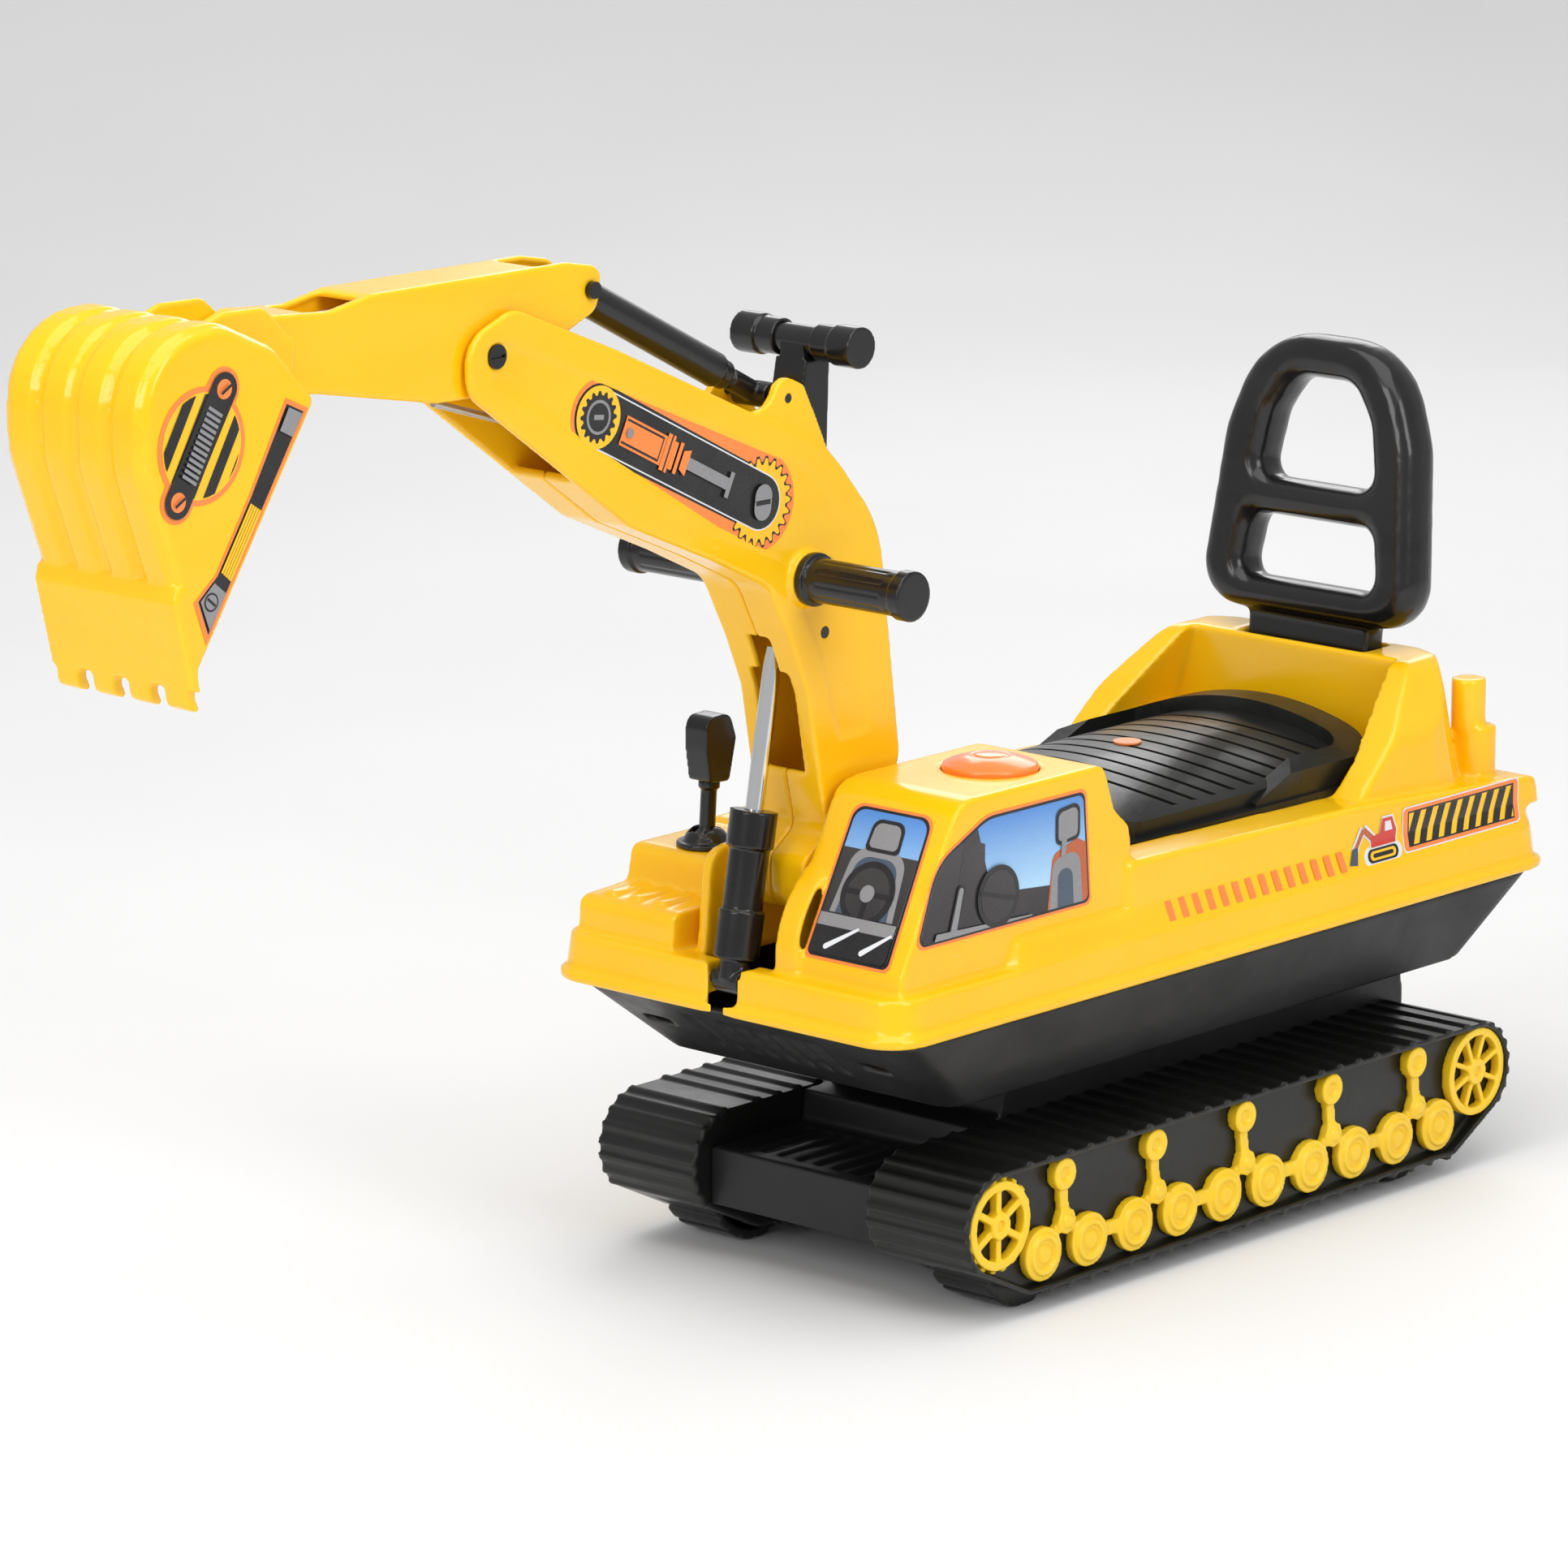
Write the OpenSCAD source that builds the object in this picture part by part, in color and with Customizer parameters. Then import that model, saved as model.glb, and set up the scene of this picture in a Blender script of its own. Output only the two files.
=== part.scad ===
// Ride-on toy digger: a tracked base on four hidden wheels, a boat-shaped hull, a yellow deck
// with a cab and a storage seat, and an arm that a T-shaped lever works.
// X points forward to the bucket, Y to the rider's left and Z up. The floor is at Z = 0 and the
// origin is under the middle of the whole length. Modules are drawn about the middle of the base.

/* [Base] */
// Overall width across the tracks
base_w = 268; // [264:1:276]
// Width of one track
track_w = 72; // [70:1:74]
// Height of the track band's top face
track_top = 85; // [84:0.5:86]
// Gap between the floor and the track's underside
track_gap = 12; // [10:1:14]
// Distance between the ribs on the track
rib_pitch = 16.8; // [15:0.1:20]
// Radius of the hidden road wheels
wheel_r = 36; // [34:0.5:37]
// Tread width of a hidden wheel
wheel_w = 40; // [34:1:42]
// Place of the front axle
axle_front_x = 172; // [165:1:175]
// Place of the rear axle
axle_rear_x = -158; // [-162:1:-150]
// Axle diameter
axle_d = 8; // [6:0.5:9]
// Radius of the yellow drive sprocket
sprocket_r = 26.5; // [25:0.5:28]
// Radius of the yellow idler wheel
idler_r = 25.5; // [23:0.5:26]
// Distance between two groups of rollers
roller_pitch = 77.6; // [76:0.1:79]

/* [Hull and deck] */
// Height of the hull's underside
hull_bottom = 116; // [115:0.5:118]
// Height of the hull's rim
hull_top = 166; // [164:1:167]
// Wall thickness of the moulded shells
wall = 3; // [2.5:0.1:3.5]
// Overall width of the deck's lip
lip_w = 256; // [252:1:260]
// Height of the front deck
deck_z = 190; // [188:1:192]
// Height of the cab's roof
roof_z = 288; // [284:1:290]
// Half width of the storage well under the seat
well_half = 80; // [74:1:82]

/* [Seat and buttons] */
// Half width of the seat lid
lid_half = 88; // [86:1:90]
// Height of the seat at its middle
seat_z = 256; // [252:1:258]
// Diameter of the horn button
horn_d = 52; // [46:1:54]
// Height of the backrest's top
backrest_z = 464; // [455:1:470]

/* [Arm] */
// Width of the boom
boom_w = 50; // [48:1:52]
// Width of the dipper arm
dipper_w = 37; // [36:0.5:37.5]
// Width of the bucket
bucket_w = 98; // [94:1:104]
// Diameter of the pivot pins in the arm
pin_d = 8; // [7:0.5:9]
// Running gap around every pivot, on the radius
fit = 0.08; // [0.05:0.01:0.1]
// Outer diameter of the lift cylinder
lift_d = 22; // [20:1:24]
// Diameter of the chrome rod
lift_rod_d = 10; // [8:0.5:11]
// Diameter of the black ram along the arm
ram_d = 19; // [17:0.5:20]

/* [Hidden] */
$fn = 40;
// The origin sits under the middle of the whole length, from the rear lip to the bucket
x_front = 748;
x_rear = -290;
x_shift = -(x_front + x_rear) / 2;
half_w = base_w / 2;
in_y = half_w - track_w;
band = 6;
face_y = half_w - 8;
lip_half = lip_w / 2;
// Pivots, each [x, z]
boom_at = [228, 232];
tip_at = [479, 548];
ear_at = [258, 497];
lever_at = [226, 404];
ram_lean = 62.65;
screw_r = 1.8;
deck_posts = [[-215, 88], [-120, 95], [60, 95]];
base_bolts = [for (x = [-200, 90], y = [-40, 40]) [x, y]];
boom_screw_at = [[229, 367], [360, 500], [204, 392]];
dipper_ear_at = [403, 572];
bucket_at = [636, 563];
lift_at = [276, 181];
lift_lean = -10.62;
horn_at = [152, 74];
joy_at = [214, -76];
boot_z = 232;
seat_axis = [67, 227];
grip_at = [245, 399];
bar_at = [221, 521];
cheek = 4.5;

// Unit vector along v
function unit(v) = v / norm(v);
// Arc that rounds the corner q between p and s; q[2] is its radius and n its number of steps
function corner(p, q, s, n) = q[2] == 0 ? [[q[0], q[1]]] :
    let (
        a = unit([p[0] - q[0], p[1] - q[1]]),
        b = unit([s[0] - q[0], s[1] - q[1]]),
        h = acos(max(-1, min(1, a * b))) / 2,
        c = [q[0], q[1]] + unit(a + b) * q[2] / sin(h),
        t = [q[0], q[1]] + a * q[2] / tan(h) - c,
        u = [q[0], q[1]] + b * q[2] / tan(h) - c,
        a0 = atan2(t[1], t[0]),
        d = atan2(u[1], u[0]) - a0,
        sweep = d > 180 ? d - 360 : (d < -180 ? d + 360 : d)
    ) [for (i = [0:n]) c + q[2] * [cos(a0 + sweep * i / n), sin(a0 + sweep * i / n)]];
// Outline whose corners are rounded; each point is [x, y, radius]
function rounded(p, n = 5) = [for (i = [0:len(p) - 1])
    each corner(p[(i + len(p) - 1) % len(p)], p[i], p[(i + 1) % len(p)], n)];

// Moves a piece from the middle of the base to the origin
module place() {
    translate([x_shift, 0, 0]) children();
}

// Extrudes an X-Z outline from y0 to y1
module slab(y0, y1) {
    rotate([90, 0, 0]) translate([0, 0, -y1]) linear_extrude(y1 - y0) children();
}

// Cylinder along Y about the point at = [x, z]
module rod_y(at, d, y0, y1, sides = 40) {
    translate([at[0], y0, at[1]]) rotate([-90, 0, 0]) cylinder(h = y1 - y0, d = d, $fn = sides);
}

// Cylinder along the X-Z direction that leans by lean degrees from upright, from a to b
module rod_lean(at, lean, d, a, b, sides = 40) {
    translate([at[0], 0, at[1]]) rotate([0, lean, 0]) translate([0, 0, a])
        cylinder(h = b - a, d = d, $fn = sides);
}

// Draws its children as they are, or as their mirror image on the right
module on_side(side) {
    if (side > 0) children();
    else mirror([0, 1, 0]) children();
}

// Rounded rectangle in plan, from x0 to x1 and half as wide as w
module plan(x0, x1, half, r) {
    polygon(rounded([[x0, -half, r], [x1, -half, r], [x1, half, r], [x0, half, r]]));
}

/* Base */

// The band is round about the sprocket and the idler, and rises from the floor to both
module track_outline() {
    polygon(concat(
        [for (a = [90:-18:-54]) [209.5, track_top - 29.5] + 29.5 * [cos(a), sin(a)]],
        [[186, track_gap], [-190, track_gap]],
        [for (a = [234:-18:90]) [-211, track_top - 28.5] + 28.5 * [cos(a), sin(a)]]));
}

module track_rib(x, z, turn = 0) {
    translate([x, in_y, z]) rotate([0, turn, 0]) translate([-2, 0, -1.5])
        cube([4, track_w, 3.5]);
}

// Rib on the round end of the band, at an angle above the X axis
module end_rib(at, r, angle) {
    translate([at[0], in_y, at[1]]) rotate([0, -angle, 0]) translate([r - 1.5, 0, -2])
        cube([3.5, track_w, 4]);
}

module track_shell() {
    difference() {
        union() {
            difference() {
                slab(in_y, half_w) track_outline();
                slab(in_y - 1, half_w + 1) offset(delta = -band) track_outline();
                slab(face_y, half_w + 1) offset(delta = -2.5) track_outline();
            }
            slab(face_y - 3, face_y) offset(delta = -band + 0.5) track_outline();
            slab(in_y, in_y + 3) offset(delta = -band + 0.5) track_outline();
            for (x = [-200:rib_pitch:198]) track_rib(x, track_top);
            for (x = [-184:rib_pitch:184]) track_rib(x, track_gap, 180);
            for (i = [0:7]) {
                end_rib([209.5, track_top - 29.5], 28.9, 81 - 18 * i);
                end_rib([-211, track_top - 28.5], 27.9, 99 + 18 * i);
            }
        }
        for (x = [axle_front_x, axle_rear_x]) {
            rod_y([x, wheel_r], 2 * wheel_r + 6, in_y + 12, in_y + wheel_w + 18, 64);
            rod_y([x, wheel_r], axle_d, in_y - 1, in_y + 4);
        }
        // Opening in the underside, between the wheels
        translate([-100, in_y + 20, 0]) cube([210, 32, 30]);
    }
}

module track_left() {
    color("#1b1b1d") place() track_shell();
}

module track_right() {
    color("#1b1b1d") place() on_side(-1) track_shell();
}

module sprocket() {
    at = [209.5, track_top - 29.5];
    tooth_at = sprocket_r - 2;
    difference() {
        union() {
            difference() {
                rod_y(at, 2 * tooth_at, face_y, half_w - 1.5);
                rod_y(at, 2 * (tooth_at - 5), face_y - 1, half_w);
            }
            for (i = [0:5]) translate([at[0], face_y, at[1]]) rotate([0, 60 * i + 30, 0])
                translate([0, 0, -2]) cube([tooth_at - 2, 5.5, 4]);
            for (i = [0:17]) translate([at[0], face_y, at[1]]) rotate([0, 20 * i, 0])
                translate([tooth_at - 1, 0, -2]) cube([3, 5, 4]);
            rod_y(at, 15, face_y, half_w - 1);
        }
        rod_y(at, 6, half_w - 3, half_w);
    }
}

module sprocket_left() {
    color("#f4b81c") place() sprocket();
}

module sprocket_right() {
    color("#f4b81c") place() on_side(-1) sprocket();
}

module idler() {
    at = [-211, track_top - 28.5];
    difference() {
        union() {
            difference() {
                rod_y(at, 2 * idler_r, face_y, half_w - 1.5);
                rod_y(at, 2 * idler_r - 9, face_y - 1, half_w);
            }
            for (i = [0:7]) translate([at[0], face_y, at[1]]) rotate([0, 45 * i + 22.5, 0])
                translate([0, 0, -1.5]) cube([idler_r - 3, 5.5, 3]);
            rod_y(at, 15, face_y, half_w - 1);
        }
        rod_y(at, 6, half_w - 3, half_w);
    }
}

module idler_left() {
    color("#f4b81c") place() idler();
}

module idler_right() {
    color("#f4b81c") place() on_side(-1) idler();
}

// Straight bar between two points of the X-Z plane, on the track's outer face
module face_bar(a, b, w, out) {
    d = b - a;
    translate([a[0], face_y, a[1]]) rotate([0, -atan2(d[1], d[0]), 0]) translate([0, 0, -w / 2])
        cube([norm(d), out, w]);
}

module road_roller(at) {
    difference() {
        union() {
            rod_y(at, 30, face_y, half_w - 2.5);
            rod_y(at, 23, face_y, half_w - 0.5);
        }
        rod_y(at, 17, half_w - 2.5, half_w);
    }
    rod_y(at, 10, face_y, half_w - 1);
}

module rollers() {
    low = 31.5;
    mid = 46;
    for (k = [0:4]) {
        x = 153 - roller_pitch * k;
        road_roller([x + 19.4, low]);
        road_roller([x - 19.4, low]);
        difference() {
            rod_y([x + 3, 73], 18, face_y, half_w - 1);
            rod_y([x + 3, 73], 8, half_w - 3, half_w);
        }
        face_bar([x + 3, 70], [x, mid], 7, 4.5);
        rod_y([x, mid], 15, face_y, half_w - 2, 8);
        rod_y([x, mid], 7, face_y, half_w - 0.5);
        face_bar([x, mid], [x + 14, low + 6], 6, 4);
        face_bar([x, mid], [x - 14, low + 6], 6, 4);
        if (k < 4) face_bar([x - 30, low + 2], [x + 30 - roller_pitch, low + 2], 8, 4);
    }
    face_bar([153 - 4 * roller_pitch - 26, low + 4], [-185.5, 41], 6, 4);
}

module rollers_left() {
    color("#f4b81c") place() rollers();
}

module rollers_right() {
    color("#f4b81c") place() on_side(-1) rollers();
}

module base_frame() {
    mid = in_y - 0.1;
    color("#1b1b1d") place() difference() {
        slab(-mid, mid) polygon([[226, 34], [226, 67], [152, 67], [150, 84], [128, 86],
            [122, hull_bottom], [-228, hull_bottom], [-232, 90], [-232, 34]]);
        slab(-mid + wall, mid - wall) polygon([[223, 33], [223, 64], [149, 64], [147, 81], [125, 83],
            [119, hull_bottom - wall], [-225, hull_bottom - wall], [-229, 90], [-229, 33]]);
        for (i = [0:7]) translate([160, -52 + 13.6 * i, 65.5]) cube([56, 9, 3]);
        for (x = [axle_front_x, axle_rear_x]) rod_y([x, wheel_r], axle_d, -mid - 1, mid + 1);
        for (bolt = base_bolts) translate([bolt[0], bolt[1], 100]) cylinder(h = 20, d = 5);
    }
}

module axle(x) {
    rod_y([x, wheel_r], axle_d, -(in_y + 58), in_y + 58);
}

module front_axle() {
    color("silver") place() axle(axle_front_x);
}

module rear_axle() {
    color("silver") place() axle(axle_rear_x);
}

module axle_caps() {
    color("#8d8f92") place() for (x = [axle_front_x, axle_rear_x], s = [-1, 1]) on_side(s)
        difference() {
            rod_y([x, wheel_r], 16, in_y + 56, in_y + 58.5);
            rod_y([x, wheel_r], axle_d, in_y + 55, in_y + 59);
        }
}

// Hollow wheel with a treaded rim, a web on its outer side and a long hub
module wheel(x) {
    y0 = in_y + 15;
    difference() {
        union() {
            difference() {
                rod_y([x, wheel_r], 2 * wheel_r, y0, y0 + wheel_w, 64);
                rod_y([x, wheel_r], 2 * wheel_r - 12, y0 - 1, y0 + wheel_w - 4, 64);
            }
            rod_y([x, wheel_r], 20, y0, y0 + wheel_w);
        }
        rod_y([x, wheel_r], axle_d + 2 * fit, y0 - 1, y0 + wheel_w + 1);
        for (i = [0:17]) translate([x, y0 - 1, wheel_r]) rotate([0, 20 * i + 10, 0])
            translate([wheel_r - 1.6, 0, -1.5]) cube([4, wheel_w + 2, 3]);
    }
}

module wheel_front_left() {
    color("#202022") place() wheel(axle_front_x);
}

module wheel_front_right() {
    color("#202022") place() on_side(-1) wheel(axle_front_x);
}

module wheel_rear_left() {
    color("#202022") place() wheel(axle_rear_x);
}

module wheel_rear_right() {
    color("#202022") place() on_side(-1) wheel(axle_rear_x);
}

module base_screws() {
    color("silver") place() for (bolt = base_bolts) translate([bolt[0], bolt[1], 0]) {
        translate([0, 0, 110]) cylinder(h = 8, d = 4.4);
        translate([0, 0, 110]) cylinder(h = 3, d = 9);
    }
}

/* Hull and deck */

// Boat-shaped block, drawn in by t on every side
module hull_block(t, z0, z1) {
    hull() {
        translate([0, 0, z0]) linear_extrude(0.1) plan(-236 + t, 218 - t, 104 - t, 14);
        translate([0, 0, z1]) linear_extrude(0.1) plan(-284 + t, 280 - t, 122 - t, 20);
    }
}

module lower_hull() {
    color("#1b1b1d") place() difference() {
        union() {
            difference() {
                hull_block(0, hull_bottom, hull_top - 2.2);
                hull_block(wall, hull_bottom + wall, hull_top);
            }
            for (post = deck_posts, s = [-1, 1]) translate([post[0], s * post[1], hull_bottom + 1])
                cylinder(h = 45.8, d = 11);
        }
        translate([249, 0, 140.5]) rotate([0, 141.5, 0]) for (i = [-4:3])
            translate([-19, 3 + 13 * i, -1.2]) cube([38, 8, 5]);
        for (y = [-78, 78]) translate([249, y, 140.5]) rotate([0, 141.5, 0])
            translate([-4, -9, -8]) cube([8, 18, 20]);
        for (bolt = base_bolts) translate([bolt[0], bolt[1], hull_bottom - 1]) cylinder(h = 8, d = 4.4);
        for (post = deck_posts, s = [-1, 1]) translate([post[0], s * post[1], hull_bottom - 1])
            cylinder(h = 60, r = screw_r);
    }
}

// Solid form of the deck before it is hollowed; t draws every wall in
module deck_form(t) {
    tight = max(t, 0.01);
    // Front deck and the sloping side band
    hull() {
        translate([0, 0, 168]) linear_extrude(0.1) plan(-285 + t, 286 - t, 125 - t, 20);
        translate([0, 0, deck_z - 0.1 - t]) linear_extrude(0.1) plan(-283 + t, 284 - t, 123 - t, 20);
    }
    hull() {
        translate([0, 0, deck_z - 4 - t]) linear_extrude(0.1) plan(-283 + t, 196 - t, 123 - t, 20);
        translate([0, 0, 204 - t]) linear_extrude(0.1) plan(-281 + t, 192 - t, 119.5 - t, 20);
    }
    // Side panels, which fall a little towards the rear
    slab(-119.3 + t, 119.3 - t) polygon(rounded([[88 - tight, 200, 0], [88 - tight, 231 - t, 5],
        [-110, 227 - t, 0], [-243, 219 - t, 0], [-280 + t, 217 - t, 7], [-283 + t, 200, 0]]));
    // Cab on the left
    slab(30 + t, 116 - t) polygon(rounded([[274 - t, 180, 0], [272 - t, 200, 8], [226 - t, roof_z - t, 20],
        [106 + t, roof_z - t, 8], [97 + t, 262, 6], [84 + t, 250, 6], [76 + t, 180, 0]]));
    // Fender arch beside the boom
    intersection() {
        rod_y([218, 196], 2 * (57 - t), 28 + t, 44, 64);
        translate([100, 0, 170]) cube([200, 100, 120]);
    }
    // Operator's console on the right, with the foot block in front of it
    slab(-112 + t, -42 - t) polygon(rounded([[279 - t, 180, 0], [278 - t, 210 - t, 7], [240 - t, 212 - t, 3],
        [236 - t, boot_z - t, 7], [150 + t, boot_z - t, 5], [146 + t, 180, 0]]));
    // Bulkhead behind the boom
    slab(-114 + t, 40) polygon(rounded([[172 - t, 180, 0], [170 - t, 234 - t, 5], [84 + t, 240 - t, 5],
        [80 + t, 180, 0]]));
}

// U-shaped wall around the back of the seat
module seat_wall() {
    difference() {
        intersection() {
            slab(-113, 113) polygon(rounded([[-90, 212, 0], [-126, 228, 26], [-176, 272, 30], [-198, 290, 16],
                [-243, 291, 9], [-262, 212, 0]]));
            translate([-300, 0, 0]) rotate([90, 0, 90]) linear_extrude(240)
                polygon(rounded([[-113, 205, 0], [113, 205, 0], [109, 256, 26], [88, 291, 18],
                    [-88, 291, 18], [-109, 256, 26]]));
            // Rear corners that grow rounder towards the top
            hull() {
                translate([0, 0, 205]) linear_extrude(0.1) plan(-248, 0, 113, 45);
                translate([0, 0, 292]) linear_extrude(0.1) plan(-243, 0, 106, 60);
            }
        }
        translate([-205, 0, 0]) rotate([90, 0, 90]) linear_extrude(160)
            polygon(rounded([[-92, 200, 0], [92, 200, 0], [90, 245, 12], [70, 300, 10], [70, 320, 0],
                [-70, 320, 0], [-70, 300, 10], [-90, 245, 12]]));
        translate([-236, 0, 0]) rotate([90, 0, 90]) linear_extrude(27)
            polygon([[-80, 200], [80, 200], [78, 250], [62, 284], [-62, 284], [-78, 250]]);
    }
}

module upper_deck() {
    color("#fdbf14") place() difference() {
        union() {
            difference() {
                union() {
                    translate([0, 0, 164]) linear_extrude(6) plan(x_rear, 290, lip_half, 24);
                    deck_form(0);
                    for (y = [-96, -78, -60]) translate([240, y - 4, 211]) cube([30, 8, 2.5]);
                }
                deck_form(wall);
                translate([0, 0, 160]) linear_extrude(10) plan(-280, 282, lip_half - 8, 20);
            }
            seat_wall();
            // Storage well under the seat
            difference() {
                translate([-186, -well_half - wall, 128]) cube([246, 2 * (well_half + wall), 92]);
                translate([-186 + wall, -well_half, 131]) cube([240, 2 * well_half, 120]);
            }
            // Seat rebate
            difference() {
                translate([-205, -93, 217]) cube([280, 186, 8]);
                translate([-183, -well_half, 210]) cube([237, 2 * well_half, 20]);
            }
            // Round boss that guides the horn button
            translate([horn_at[0], horn_at[1], 256]) cylinder(h = roof_z - 256, d = horn_d + 8);
            for (post = deck_posts, s = [-1, 1]) translate([post[0], s * post[1], 163])
                cylinder(h = 54, d = 10);
            // Cheek of the boom's pivot on the right, and ribs that hold the lift cylinder's pin
            slab(-35, -28) polygon(rounded([[188, 184, 0], [192, 246, 12], [262, 246, 14], [268, 184, 0]]));
            for (s = [-1, 1]) on_side(s) slab(12, 16) polygon([[266, 172], [266, 188], [284, 188], [284, 172]]);
        }
        // Well of the boom, open at the front over the keyhole slot
        translate([174, -27.5, 150]) cube([95, 55, 200]);
        translate([276, 0, 150]) cylinder(h = 60, d = 27);
        translate([250, -9.6, 150]) cube([26, 19.2, 60]);
        // Seat pocket, hinge slot, horn button, joystick and screw holes
        translate([-183, -lid_half - 1.5, 225]) cube([252, 2 * lid_half + 3, 20]);
        translate([52, -50, 219]) cube([22, 100, 20]);
        translate([horn_at[0], horn_at[1], 240]) cylinder(h = 60, d = horn_d + 0.8);
        translate([joy_at[0], joy_at[1], boot_z - 30]) cylinder(h = 40, d = 24);
        translate([-236, -46.5, 255]) cube([26, 93, 60]);
        for (post = deck_posts, s = [-1, 1]) translate([post[0], s * post[1], 150]) cylinder(h = 40, r = screw_r);
        rod_y(boom_at, pin_d, -36, 35);
        rod_y(lift_at, 6, -18, 18);
        rod_y(seat_axis, 5.2, -56.5, 56.5);
        backrest_screw_form(20);
    }
    // Lugs of the seat's hinge rod
    color("#fdbf14") place() for (s = [-1, 1]) on_side(s) difference() {
        translate([63, 50.5, 218]) cube([12, 5.5, 14]);
        rod_y(seat_axis, 5, 50, 57);
    }
    // Stepped exhaust stack moulded on the rear corner
    color("#fdbf14") place() {
        translate([-251, 95, 214]) cylinder(h = 34, d = 26);
        translate([-247, 94, 247]) cylinder(h = 29, d = 20);
    }
}

module deck_screws() {
    color("silver") place() for (post = deck_posts, s = [-1, 1])
        translate([post[0], s * post[1], hull_bottom - 2]) {
            cylinder(h = 2, d = 8);
            cylinder(h = 66, r = screw_r);
        }
}

module boom_pin() {
    color("silver") place() rod_y(boom_at, pin_d, -35, 35);
}

module lift_foot_pin() {
    color("silver") place() rod_y(lift_at, 6, -17, 17);
}

/* Seat, backrest and controls */

// Screws that come in from behind; head is the height of the round head
module backrest_screw_form(head = 3) {
    for (y = [-28, 28]) translate([-243 - head, y, 272]) rotate([0, 90, 0]) {
        cylinder(h = head, d = 8);
        cylinder(h = head + 22, d = 4);
    }
}

module backrest() {
    color("#1b1b1d") place() difference() {
        backrest_form();
        backrest_screw_form();
    }
}

// Front outline of the hoop with its two windows
module hoop() {
    top = backrest_z - 299;
    difference() {
        polygon(rounded([[-79, 2, 26], [79, 2, 26], [69, 108, 60], [48, top, 52], [-48, top, 52],
            [-69, 108, 60]], 8));
        polygon(rounded([[-42, 80, 10], [42, 80, 10], [35, 118, 20], [21, 140, 18], [-21, 140, 18],
            [-35, 118, 20]], 6));
        polygon(rounded([[-49, 22, 9], [49, 22, 9], [43, 58, 9], [-43, 58, 9]], 5));
    }
}

// Hoop on a flat neck
module backrest_form() {
    lean = -7;
    translate([-222, 0, 300]) rotate([0, lean, 0]) {
        // Layers that grow thinner outwards round the section of the hoop
        for (layer = [[5, 0], [9, 1], [12, 2.6], [14, 5], [15.5, 8.5]]) rotate([90, 0, 90])
            translate([0, 0, -layer[0]]) linear_extrude(2 * layer[0]) offset(delta = -layer[1]) hoop();
        translate([-11, -44, -38]) cube([16, 88, 44]);
    }
}

module backrest_screws() {
    color("silver") place() backrest_screw_form();
}

module seat_lid() {
    color("#1b1b1d") place() difference() {
        union() {
            // Flange
            translate([0, 0, 225.6]) linear_extrude(4) plan(-182, 58, lid_half, 20);
            // Crowned pad, with curved grooves across it
            intersection() {
                translate([0, 0, 226]) linear_extrude(50) plan(-176, 49, lid_half - 7, 18);
                difference() {
                    translate([-60, 0, 0]) rotate([90, 0, 90]) translate([0, 0, -130])
                        linear_extrude(260) translate([0, seat_z - 190]) circle(r = 190, $fn = 160);
                    for (i = [0:9]) translate([20 - 17 * i - 130, 0, 0]) difference() {
                        translate([0, 0, 240]) cylinder(h = 40, r = 131.7, $fn = 120);
                        translate([0, 0, 239]) cylinder(h = 42, r = 128.3, $fn = 120);
                    }
                }
            }
            intersection() {
                translate([0, 0, 226]) linear_extrude(60) plan(-176, 49, lid_half - 7, 18);
                translate([-60, 0, 0]) rotate([90, 0, 90]) translate([0, 0, -130])
                    linear_extrude(260) translate([0, seat_z - 192]) circle(r = 190, $fn = 160);
            }
            // Raised rim around the rear, which falls away along both sides
            intersection() {
                difference() {
                    translate([0, 0, 226]) linear_extrude(60) plan(-180, 30, lid_half - 3, 26);
                    translate([0, 0, 225]) linear_extrude(70) plan(-160, 60, lid_half - 15, 16);
                }
                translate([-190, 0, 0]) rotate([90, 0, 90]) linear_extrude(140)
                    translate([0, seat_z - 183]) circle(r = 191, $fn = 160);
                slab(-lid_half, lid_half) polygon([[-182, 220], [-182, 275], [-140, 262], [-64, 232],
                    [-64, 220]]);
            }
            // Hinge lugs
            for (y = [-40, 30]) {
                rod_y(seat_axis, 10, y, y + 10);
                translate([50, y, 225]) cube([16, 10, 6]);
            }
        }
        hull() {
            translate([0, 0, 224]) linear_extrude(0.1) plan(-173, 50, lid_half - 10, 15);
            translate([0, 0, 243]) linear_extrude(0.1) plan(-165, 44, 50, 15);
        }
        rod_y(seat_axis, 5 + 2 * fit, -60, 60);
        translate([-54, 0, 220]) cylinder(h = 50, d = 12);
    }
}

module seat_plug() {
    color("#f58220") place() translate([-54, 0, 0]) {
        translate([0, 0, 245]) cylinder(h = 10, d = 12);
        translate([0, 0, 254]) cylinder(h = 2.5, d = 12);
        translate([0, 0, seat_z]) cylinder(h = 1, d = 16);
    }
}

module seat_hinge_rod() {
    color("silver") place() rod_y(seat_axis, 5, -56, 56);
}

module horn_button() {
    color("#f58220") place() translate([horn_at[0], horn_at[1], 0]) difference() {
        intersection() {
            translate([0, 0, roof_z + 8 - 62]) sphere(r = 62, $fn = 96);
            translate([0, 0, 268]) cylinder(h = 40, d = horn_d);
        }
        translate([0, 0, 266]) cylinder(h = roof_z - 269, d = horn_d - 6);
        translate([0, 0, roof_z + 6.6]) difference() {
            cylinder(h = 4, d = 22);
            translate([0, 0, -1]) cylinder(h = 6, d = 17);
        }
    }
}

module horn_spring() {
    color("silver") place() translate([horn_at[0], horn_at[1], 256.5]) difference() {
        cylinder(h = 28, d = 14);
        translate([0, 0, -1]) cylinder(h = 30, d = 11);
    }
}

module horn_box() {
    color("#2b2b2e") place() difference() {
        translate([horn_at[0] - 30, horn_at[1] - 30, 236]) cube([60, 56, 20]);
        for (i = [-2:2]) translate([horn_at[0] - 18, horn_at[1] + 7 * i - 1.5, 235])
            cube([36, 3, 3]);
    }
}

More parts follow.
